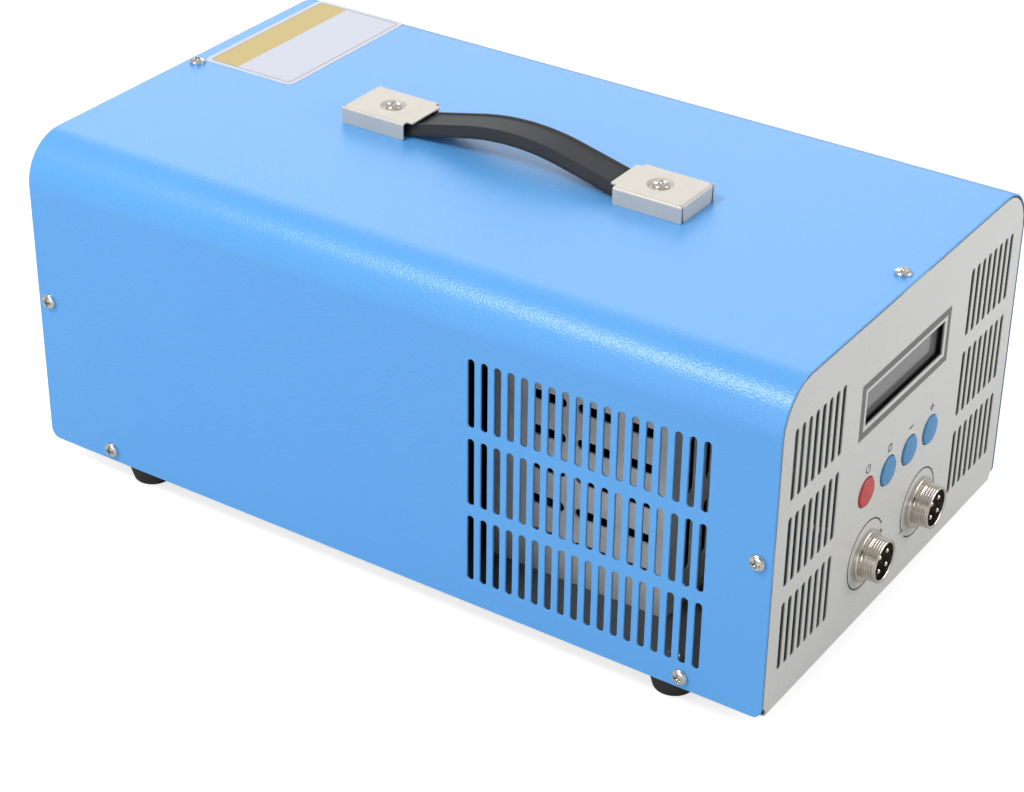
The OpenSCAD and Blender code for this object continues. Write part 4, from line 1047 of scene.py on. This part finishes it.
class TESTER_OT_handle(bpy.types.Operator):
    """Handle: a moulded strap between two folded, nickel plated end caps."""

    bl_idname = "tester.handle"
    bl_label = "Handle"

    def execute(self, context):
        size = context.scene.tester_handle
        self.strap(size)
        self.cap(size, "cap_front", -1)
        self.cap(size, "cap_rear", 1)
        return {"FINISHED"}

    def strap(self, size):
        """Half the strap is a flat foot, a heel arc, a straight slope and half the crown's arc."""
        low, high = box_mm("strap")
        crown, heel, foot, rise = 100.0, 45.0, box_mm("cap_rear")[0][1] + 9.7, high[2] - TOP_Z - 5.0
        arcs = crown + heel
        down = arcs - rise
        angle = math.asin(arcs / math.hypot(foot, down)) - math.atan2(down, foot)
        slope = (foot - arcs * math.sin(angle)) / math.cos(angle)
        half = [(high[1] - foot, 0.0), (heel * angle, angle), (slope, 0.0), (crown * angle, -angle)]
        back = [(length, turn) for length, turn in reversed(half)]
        course = Course(half + back, (low[1], TOP_Z))
        counts = (3, 14, 3, 26, 26, 3, 14, 3)
        steps = [np.linspace(a, b, count)[:-1] for a, b, count in zip(course.at, course.at[1:], counts)]
        along = np.concatenate(steps + [course.at[-1:]])
        spot, heading = course(along)
        points, normals = strap_section(size.bead)
        rise_by, lean = -np.sin(heading)[:, None], np.cos(heading)[:, None]
        surface = np.stack(
            (
                np.broadcast_to(points[:, 0], (len(along), len(points))),
                spot[:, :1] + rise_by * points[:, 1],
                spot[:, 1:] + lean * points[:, 1],
            ),
            -1,
        )
        facing = np.stack(
            (np.broadcast_to(normals[:, 0], surface.shape[:2]), rise_by * normals[:, 1], lean * normals[:, 1]), -1
        )
        work = Patchwork()
        work.grid(surface, facing, close_columns=True)
        spots, triangles = fill([points])
        for end, way in ((0, -1.0), (-1, 1.0)):
            face = np.column_stack((spots[:, 0], np.full(len(spots), spot[end, 0]), spots[:, 1] + spot[end, 1]))
            work.add(face, np.broadcast_to((0.0, way, 0.0), face.shape), triangles)
        work.piece("handle_strap", strap_plastic(), replaces=["strap"])

    def cap(self, size, name, way):
        """An end cap is a cross-shaped blank. Both sides and the end are folded down, a tongue stays over the
        strap, and a flat-bottomed dish is pressed round the screw."""
        low, high = box_mm(name)
        fold, sheet = size.cap_fold, size.cap_sheet
        half = (high[0] - low[0]) / 2 - fold
        end = (high[1] - low[1]) / 2 - fold
        arc = fold * np.pi / 2
        drop = arc + high[2] - low[2] - fold
        lip, slit, root = -end - fold, 0.3, end - 0.3
        right = [
            (10.0, lip), (10.0, lip + 2.8), (half + drop, lip + 2.8), (half + drop, end + fold),
            (half + slit, end + fold), (half + slit, root), (half - slit, root), (half - slit, end + arc + 0.4),
            (half - slit - 0.7, end + drop),
        ]
        radii = [0.8, 0.3, 0.9, 0.5, 0.3, 0.1, 0.1, 0.4, 0.8]
        corners = right + [(-x, y) for x, y in reversed(right)]
        outline = rounded(corners, radii + radii[::-1], 6)
        bends = [sign * (half + share) for sign in (-1, 1) for share in np.linspace(0, arc, 7)]
        ends = list(end + np.linspace(0, arc, 7))
        outline = densified(densified(outline, 0, bends), 1, ends)
        creases = [(0, value) for value in bends] + [(1, value) for value in ends]

        bottom, rim = 3.7, 6.0

        def dished(points, normals):
            """Sinks the sheet by the dish's depth times a smooth step of the distance from the screw."""
            away = np.linalg.norm(points[:, :2], axis=1)
            share = np.clip((away - bottom) / (rim - bottom), 0, 1)
            slope = size.dish * 6 * share * (1 - share) / (rim - bottom)
            lean = slope[:, None] * points[:, :2] / np.maximum(away, 1e-6)[:, None]
            sunk = points - (0, 0, 1) * (size.dish * (1 - share * share * (3 - 2 * share)))[:, None]
            return sunk, unit(normals - np.column_stack((lean * normals[:, 2:], 0 * away)))

        middle = ((low[0] + high[0]) / 2, (low[1] + high[1]) / 2, high[2])
        place = in_turn(
            dished, folded_down(1, end, fold, -half, half), folded_down(0, half, fold), mirrored(0),
            folded_down(0, half, fold), axes(middle, (way, 0, 0), (0, way, 0), (0, 0, 1)),
        )
        ridges = [circle((0, 0), radius, 48)[0] for radius in np.linspace(bottom, rim, 7)]
        work = Patchwork()
        plate(work, outline, [circle((0, 0), BOLT, 32)], -sheet, 0.0, 0.2, place, creases, ridges)
        work.piece(name + "_folded", dull_nickel(), replaces=[name])


class TESTER_OT_buttons(bpy.types.Operator):
    """Four push buttons: polished caps with a flat face and a rounded edge, on their stems."""

    bl_idname = "tester.buttons"
    bl_label = "Buttons"

    def execute(self, context):
        red = moulded("Red_moulding", "red_button_plastic", "BC3A3C", "C24144", 0.3, 2.5, 0.000004)
        blue = moulded("Blue_moulding", "blue_button_plastic", "4184B6", "478ABC", 0.3, 2.5, 0.000004)
        back, stem, tip, tip_length, dome = -3.2, 3.4, 2.0, 3.2, 0.45
        for name, body, material in (
            ("button_on", "on_button", red),
            ("button_set", "set_button", blue),
            ("button_minus", "minus_button", blue),
            ("button_plus", "plus_button", blue),
        ):
            low, high = box_mm(name)
            centre, radius = (low + high) / 2, (high[0] - low[0]) / 2
            out, end = FRONT_Y - low[1], FRONT_Y - high[1]
            profile = [
                (0.0, end), (tip, end), (tip, end + tip_length), (stem, end + tip_length), (stem, back),
                (radius, back), (radius, out - dome), (0.0, out),
            ]
            outline = rounded(profile, [0.0, 0.2, 0.2, 0.2, 0.2, 0.3, 0.8, 0.0], 7)
            work = Patchwork()
            lathe(work, outline, front(centre[0], centre[2]), 72)
            work.piece(name + "_cap", material, body, replaces=[name])
        return {"FINISHED"}


def threaded_shell(radius, reach, tail, pitch, depth):
    """Socket shell: flange, smooth collar and thread outside, and a bore with a key slot inside. The thread
    is the crest radius less a V groove, whose phase is the height over the pitch less the turn."""
    wall, ledge, flange, key_depth, key_half = 1.3, 1.1, 2.0, 0.7, 0.9
    first, last, fade_in = 3.5, reach - 0.5, 0.5
    bore = radius - wall
    key = math.asin(key_half / bore)
    spread = np.linspace(np.pi + key, 3 * np.pi - key, 88)
    floor = np.linspace(np.pi - key, np.pi + key, 5)
    angle = np.concatenate((spread, [np.pi - key + 1e-4], floor[1:-1], [np.pi + key - 1e-4]))
    keyed = np.concatenate((np.zeros(len(spread)), np.ones(5)))
    level = np.arange(first, last, pitch / 12)
    phase = level[:, None] / pitch - angle[None] / (2 * np.pi)
    groove = 1 - np.clip(2.6 * np.abs(phase - np.round(phase)) - 0.15, 0, 1)
    fade = np.clip(np.minimum(level - first, last - level) / fade_in, 0, 1)[:, None]
    thread = radius - depth * groove * fade
    outer = [
        (radius + flange, 0.0), (radius + flange, 1.45), (radius + flange - 0.16, 1.84),
        (radius + flange - 0.55, flange), (radius - 0.2, flange), (radius - 0.3, 2.06), (radius - 0.3, 3.3),
        (radius - 0.15, 3.45),
    ]
    inner = [
        (bore, 3.2), (bore, -6.0), (bore - ledge, -6.0), (bore - ledge, -tail), (radius - 0.1, -tail),
        (radius - 0.1, 0.0),
    ]

    def rings(rows, cut=0.0):
        ring = np.array(rows)
        radial = ring[:, :1] + cut * keyed[None]
        return radial, np.broadcast_to(ring[:, 1:], radial.shape)

    parts = [
        rings(outer),
        (thread, np.broadcast_to(level[:, None], thread.shape)),
        rings([(radius, reach - 0.4), (radius - 0.3, reach)]),
        rings([(bore + 0.35, reach)], key_depth / 2),
        rings([(bore, reach - 0.35), inner[0]], key_depth),
        rings(inner),
    ]
    radial, height = (np.concatenate(rows) for rows in zip(*parts))
    return np.stack((radial * np.cos(angle), radial * np.sin(angle), height), -1)


class TESTER_OT_sockets(bpy.types.Operator):
    """Threaded sockets of the power and signal leads."""

    bl_idname = "tester.sockets"
    bl_label = "Sockets"

    def execute(self, context):
        size = context.scene.tester_panel
        for name, facing in (("socket_left", front), ("socket_right", front), ("signal_socket", rear)):
            low, high = box_mm(name)
            reach = FRONT_Y - low[1] if facing is front else high[1] - REAR_Y
            radius = (high[0] - low[0]) / 2 - 2.0
            place = facing((low[0] + high[0]) / 2, (low[2] + high[2]) / 2)
            work = Patchwork()
            crisp(work, threaded_shell(radius, reach, 9.0, size.thread, size.thread_depth), place, True, True)
            work.piece(name + "_shell", nickel(), replaces=[name])
        return {"FINISHED"}


def pan_head(work, place, radius, height, length, shank, recess=2.0):
    """Pan head screw. The head's height is the same share of a circle's arch at each distance from its axis,
    less a cross recess: a square patch carries the recess, and a ring joins the square to the round rim."""
    half, arm, sunk = radius * 0.62, 0.26 * recess, 0.75 * height
    lines = np.concatenate((
        arm * np.array([0.0, 0.55, 0.9, 1.08, 1.5]), [recess * 0.8, recess * 0.94, recess * 1.02, half],
    ))
    lines = np.unique(np.concatenate((-lines, lines)))

    def dome(x, y):
        away = np.clip((x * x + y * y) / radius**2, 0, 1)
        return height * (0.3 + 0.7 * np.sqrt(1 - 0.96 * away))

    def ramp(value, start, end):
        return 1 - np.clip((value - start) / (end - start), 0, 1)

    x, y = np.meshgrid(lines, lines)
    along_x = ramp(np.abs(y), arm * 0.9, arm * 1.08) * ramp(np.abs(x), recess * 0.8, recess * 1.02)
    along_y = ramp(np.abs(x), arm * 0.9, arm * 1.08) * ramp(np.abs(y), recess * 0.8, recess * 1.02)
    square = np.stack((x, y, dome(x, y) - sunk * np.maximum(along_x, along_y)), -1)
    crisp(work, square, place)
    edge = np.concatenate((square[0, :-1], square[:-1, -1], square[-1, :0:-1], square[:0:-1, 0]))
    way = unit(edge[:, :2])
    start = np.linalg.norm(edge[:, :2], axis=1)
    share = np.linspace(0, 1, 9)[:, None]
    spread = start + (radius - start) * np.sin(share * np.pi / 2)
    ring = np.stack((spread * way[:, 0], spread * way[:, 1], 0 * spread), -1)
    ring[..., 2] = dome(ring[..., 0], ring[..., 1])
    below = np.array([(radius, 0.0), (shank, 0.0), (shank, -length), (0.0, -length)])[:, None]
    under = np.stack((below[..., 0] * way[:, 0], below[..., 0] * way[:, 1], below[..., 1] + 0 * start), -1)
    crisp(work, np.concatenate((ring, under)), place, close_columns=True, way=-1.0)


class TESTER_OT_screws(bpy.types.Operator):
    """Cross recess screws of the case, the handle, the fans and the inlet."""

    bl_idname = "tester.screws"
    bl_label = "Screws"

    def execute(self, context):
        seat = box_mm("cap_front")[1][2] - context.scene.tester_handle.dish
        sides = [side(sign, y, EDGE_Z + up) for sign in (-1, 1) for up, y in case_screws()]
        ends = [top(0.0, end * (CASE_HALF - END_SCREW_IN)) for end in (-1, 1)]
        handle = [top(0.0, y, seat) for y in HANDLE_SCREWS]
        inlet = [rear(INLET_X + x, INLET_Z, REAR_Y + 2.5) for x in (-INLET_SCREW, INLET_SCREW)]
        fan = self.corners("fan_frame", rear, REAR_Y + 1.7, FAN_SCREW)
        supply = self.corners("supply_fan_frame", front, -39.8, 35.75)
        groups = (
            ("case_screw_heads", "case_screws", "nickel_plate", [(sides + ends, 3.4, 2.3, 6.0, 1.4)]),
            ("handle_screw_heads", "handle_screws", "nickel_plate", [(handle, 3.4, 2.3, 12.7, 2.0)]),
            ("fan_screw_heads", "fan_screws", "zinc_plate", [(fan, 3.5, 2.2, 14.0, 2.0), (supply, 3.5, 2.2, 8.0, 2.0)]),
            ("inlet_screw_heads", "inlet_screws", "zinc_plate", [(inlet, 2.8, 2.0, 6.7, 1.5, 1.7)]),
        )
        for name, solids, slot_name, kinds in groups:
            work = Patchwork()
            for places, *sizes in kinds:
                for place in places:
                    pan_head(work, place, *sizes)
            work.piece(name, zinc(), slot=slot_name, replaces=[solids])
        return {"FINISHED"}

    def corners(self, name, facing, y, span):
        """Places of the four screws of a fan's frame."""
        x, _, z = middle_mm(name)
        return [facing(x + across, z + up, y) for across in (-span, span) for up in (-span, span)]


class TESTER_OT_rocker_marks(bpy.types.Operator):
    """Bar and ring printed on the two faces of the mains rocker. Each face leans from the middle edge by the
    same angle, and the whole rocker is tipped by half its swing."""

    bl_idname = "tester.rocker_marks"
    bl_label = "Rocker marks"

    def execute(self, context):
        half, low, high, swing = 6.0, 2.4, 3.6, 18.0
        axle = np.array((INLET_X, REAR_Y, INLET_Z + 14.6))
        lean, tip = math.atan((high - low) / half), math.radians(swing / 2)
        bar = rectangle((-0.4, -1.5), (0.4, 1.5), 0.1, 2), []
        ring = circle((0, 0), 1.6, 40), [circle((0, 0), 0.9, 40)]
        work = Patchwork()
        for sign, (outline, holes) in ((-1, bar), (1, ring)):
            angle = tip + sign * lean
            up, level = sign * half / 2, (low + high) / 2
            rise = (0, up * math.sin(tip) + level * math.cos(tip), up * math.cos(tip) - level * math.sin(tip))
            along, out = (0, math.sin(angle), math.cos(angle)), (0, math.cos(angle), -math.sin(angle))
            plate(work, outline, holes, -0.02, 0.05, 0, axes(axle + rise, (-1, 0, 0), along, out))
        work.piece("rocker_print", ink("Pale_ink", "C8C8C4"), "mains_rocker", "black_plastic")
        return {"FINISHED"}


class TESTER_OT_inside(bpy.types.Operator):
    """Gives the carried-over CAD pieces their finishes."""

    bl_idname = "tester.inside"
    bl_label = "Other pieces"

    def execute(self, context):
        enamel = moulded("Black_enamel", "black_frame_steel", "151516", "1B1B1C", 0.35)
        # Painted shade: the socket cores are black bakelite, made near black and rough so that they also stand in for
        # the shade deep in the sockets' bores.
        bakelite_and_bore_shade = moulded("Black_bakelite", "black_plastic", "080706", "0D0B0A", 0.6)
        milky = moulded("Milky_moulding", "white_plastic", "D9D9D2", "E0E0DA", 0.4)
        sleeve = moulded("Capacitor_sleeve", "capacitor_sleeve", "1E2A52", "25325E", 0.35)
        relay = moulded("Relay_case", "relay_blue", "2B4F9E", "3158A8", 0.35)
        alloy = bare_metal("Resistance_alloy", "resistance_alloy", "B08A62", "C09B72", 0.35)
        aluminium = bare_metal("Extruded_aluminium", "aluminium", "C4C6C8", "D2D4D6", 0.38)
        brass = bare_metal("Turned_brass", "brass", "C8AE74", "D4BC84", 0.3)
        glass = finish("Fuse_glass", "fuse_glass", "E6EAEA", None, Roughness=0.06, IOR=1.5, Transmission_Weight=0.8)
        for material, names in (
            (zinc(), "foot_screws nuts display_studs display_screws socket_nuts signal_nut inlet_nuts"),
            (dull_nickel(), "fan_guard"),
            (nickel(), "socket_pins signal_pins inlet_pins"),
            (brass, "control_pillars load_pillars"),
            (bakelite_and_bore_shade, "socket_cores signal_core"),
            (black_abs(), "lcd_header key_switches supply_fan_frame supply_rotor fan_frame fan_rotor"),
            (black_abs(), "inlet_body rocker fuse_drawer transistors supply_parts"),
            (enamel, "lcd_frame"),
            (display_glass(), "lcd_glass"),
            (milky, "lcd_backlight"),
            (circuit_board(), "lcd_board display_board supply_board control_board load_board"),
            (galvanised(), "supply_case supply_lid"),
            (relay, "control_relays"),
            (sleeve, "control_capacitors load_capacitors"),
            (aluminium, "heat_sink"),
            (alloy, "load_shunt"),
            (glass, "fuse"),
        ):
            for name in names.split():
                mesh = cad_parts[name].data
                mesh.materials.clear()
                mesh.materials.append(material)
        return {"FINISHED"}


class TESTER_OT_stage(bpy.types.Operator):
    """Pale floor, even light, four square lamps, the camera of the photograph and a black card behind it."""

    bl_idname = "tester.stage"
    bl_label = "Stage"

    def execute(self, context):
        settings = context.scene.tester_stage
        scene = context.scene
        scene.view_settings.view_transform = "Standard"
        self.floor()
        self.world(scene, settings)
        for name, place, width in (
            ("key", (-0.95, 0.47, 1.45), 0.55),
            ("fill", (0.35, -0.75, 0.35), 0.5),
            ("sheen", (1.43, 0.94, 1.03), 1.5),
            ("left", (-1.7, -0.1, 0.5), 1.2),
        ):
            self.lamp(name, getattr(settings, name), place, width)
        self.camera(scene, settings)
        self.card(scene.camera)
        return {"FINISHED"}

    def floor(self):
        """Floor: a wide round sheet that shows white to the camera and still takes the shadow."""
        reach, drop, lift = 4000.0, 0.02, 0.7
        angle = np.linspace(0, 2 * np.pi, 96, endpoint=False)
        ring = np.array((0.0, reach))[:, None]
        points = np.stack((ring * np.cos(angle), ring * np.sin(angle), 0 * ring * angle - drop), -1)
        work = Patchwork()
        work.grid(points, np.broadcast_to((0.0, 0.0, 1.0), points.shape), close_columns=True)
        sheet = linked("floor", work.mesh("floor"))
        material = bpy.data.materials.new("Paper_backdrop")
        material.use_nodes = True
        tree = material.node_tree
        tree.nodes.clear()
        ray = node(tree, "LightPath").outputs["Is Camera Ray"]
        glow = node(tree, "Emission", {"Color": linear("FFFFFF"), "Strength": maths(tree, "MULTIPLY", ray, lift)})
        matt = node(tree, "BsdfDiffuse", {"Color": linear("CACACA")})
        both = node(tree, "AddShader", {0: glow.outputs[0], 1: matt.outputs[0]})
        node(tree, "OutputMaterial", {"Surface": both.outputs[0]})
        sheet.data.materials.append(material)

    def world(self, scene, settings):
        """World: even light on the object, and plain white where the camera sees past the floor."""
        world = bpy.data.worlds.new("Even_light")
        world.use_nodes = True
        scene.world = world
        tree = world.node_tree
        tree.nodes.clear()
        path = node(tree, "LightPath")
        level = node(
            tree, "MapRange", {"Value": path.outputs["Is Camera Ray"], "To Min": settings.world, "To Max": 1.0}
        )
        light = node(tree, "Background", {"Color": linear("FFFFFF"), "Strength": level.outputs["Result"]})
        node(tree, "OutputWorld", {"Surface": light.outputs[0]})

    def card(self, camera):
        """Black card behind the camera, as in a photographer's studio: it puts dark reflections in the bright
        metal. A square sheet is carried from the camera's frame into the world."""
        half, behind = 0.3, 0.15
        flat = np.array([[(x, y, behind) for x in (-half, half)] for y in (-half, half)])
        turn = np.array(camera.matrix_world)
        points = (flat @ turn[:3, :3].T + turn[:3, 3]) * 1000
        work = Patchwork()
        work.grid(points, np.broadcast_to(-turn[:3, 2], points.shape))
        sheet = linked("card", work.mesh("card"))
        sheet.data.materials.append(finish("Black_card", "black_plastic", "050505", None, Roughness=0.9))
        sheet.visible_camera = False

    def lamp(self, name, power, place, width):
        """Square area lamp that looks at the middle of the case."""
        data = bpy.data.lights.new(name, "AREA")
        data.energy, data.size = power, width
        thing = linked(name, data)
        thing.location = place
        thing.rotation_euler = (Vector((0.0, 0.0, 0.08)) - Vector(place)).to_track_quat("-Z", "Y").to_euler()

    def camera(self, scene, settings):
        """Camera at the photograph's angle, turned about its own axis by the roll."""
        azimuth, elevation, roll = settings.azimuth, settings.elevation, settings.roll
        back = Vector((
            math.sin(azimuth) * math.cos(elevation), -math.cos(azimuth) * math.cos(elevation), math.sin(elevation),
        ))
        target = Vector((-0.07447, -0.04525, 0.0932))
        right = (-back).cross(Vector((0, 0, 1))).normalized()
        up = right.cross(-back)
        across = math.cos(roll) * right + math.sin(roll) * up
        rise = -math.sin(roll) * right + math.cos(roll) * up
        data = bpy.data.cameras.new("camera")
        data.lens, data.sensor_width, data.clip_start = settings.lens, 36.0, 0.01
        thing = linked("camera", data)
        turn = Matrix((across, rise, back)).transposed().to_4x4()
        thing.matrix_world = Matrix.Translation(target + back * settings.distance) @ turn
        scene.camera = thing


class TESTER_PT_panel(bpy.types.Panel):
    """Lists the steps that build the tester."""

    bl_label = "Battery capacity tester"
    bl_idname = "TESTER_PT_panel"
    bl_space_type = "VIEW_3D"
    bl_region_type = "UI"
    bl_category = "Tester"

    def draw(self, context):
        for group in GROUPS:
            settings = getattr(context.scene, group)
            for name in settings.bl_rna.properties.keys():
                if name not in ("rna_type", "name"):
                    self.layout.prop(settings, name)
        for step in STEPS:
            self.layout.operator(step.bl_idname)


STEPS = (
    TESTER_OT_cover, TESTER_OT_chassis, TESTER_OT_feet, TESTER_OT_prints, TESTER_OT_label, TESTER_OT_handle,
    TESTER_OT_buttons, TESTER_OT_sockets, TESTER_OT_screws, TESTER_OT_rocker_marks, TESTER_OT_inside, TESTER_OT_stage,
)


def register():
    for name, group in GROUPS.items():
        bpy.utils.register_class(group)
        setattr(bpy.types.Scene, name, bpy.props.PointerProperty(type=group))
    for item in STEPS + (TESTER_PT_panel,):
        bpy.utils.register_class(item)


def unregister():
    for item in reversed(STEPS + (TESTER_PT_panel,)):
        bpy.utils.unregister_class(item)
    for name, group in GROUPS.items():
        delattr(bpy.types.Scene, name)
        bpy.utils.unregister_class(group)


def main():
    """Builds every piece in turn."""
    register()
    for step in STEPS:
        group, name = step.bl_idname.split(".")
        getattr(getattr(bpy.ops, group), name)()


if __name__ == "__main__":
    main()
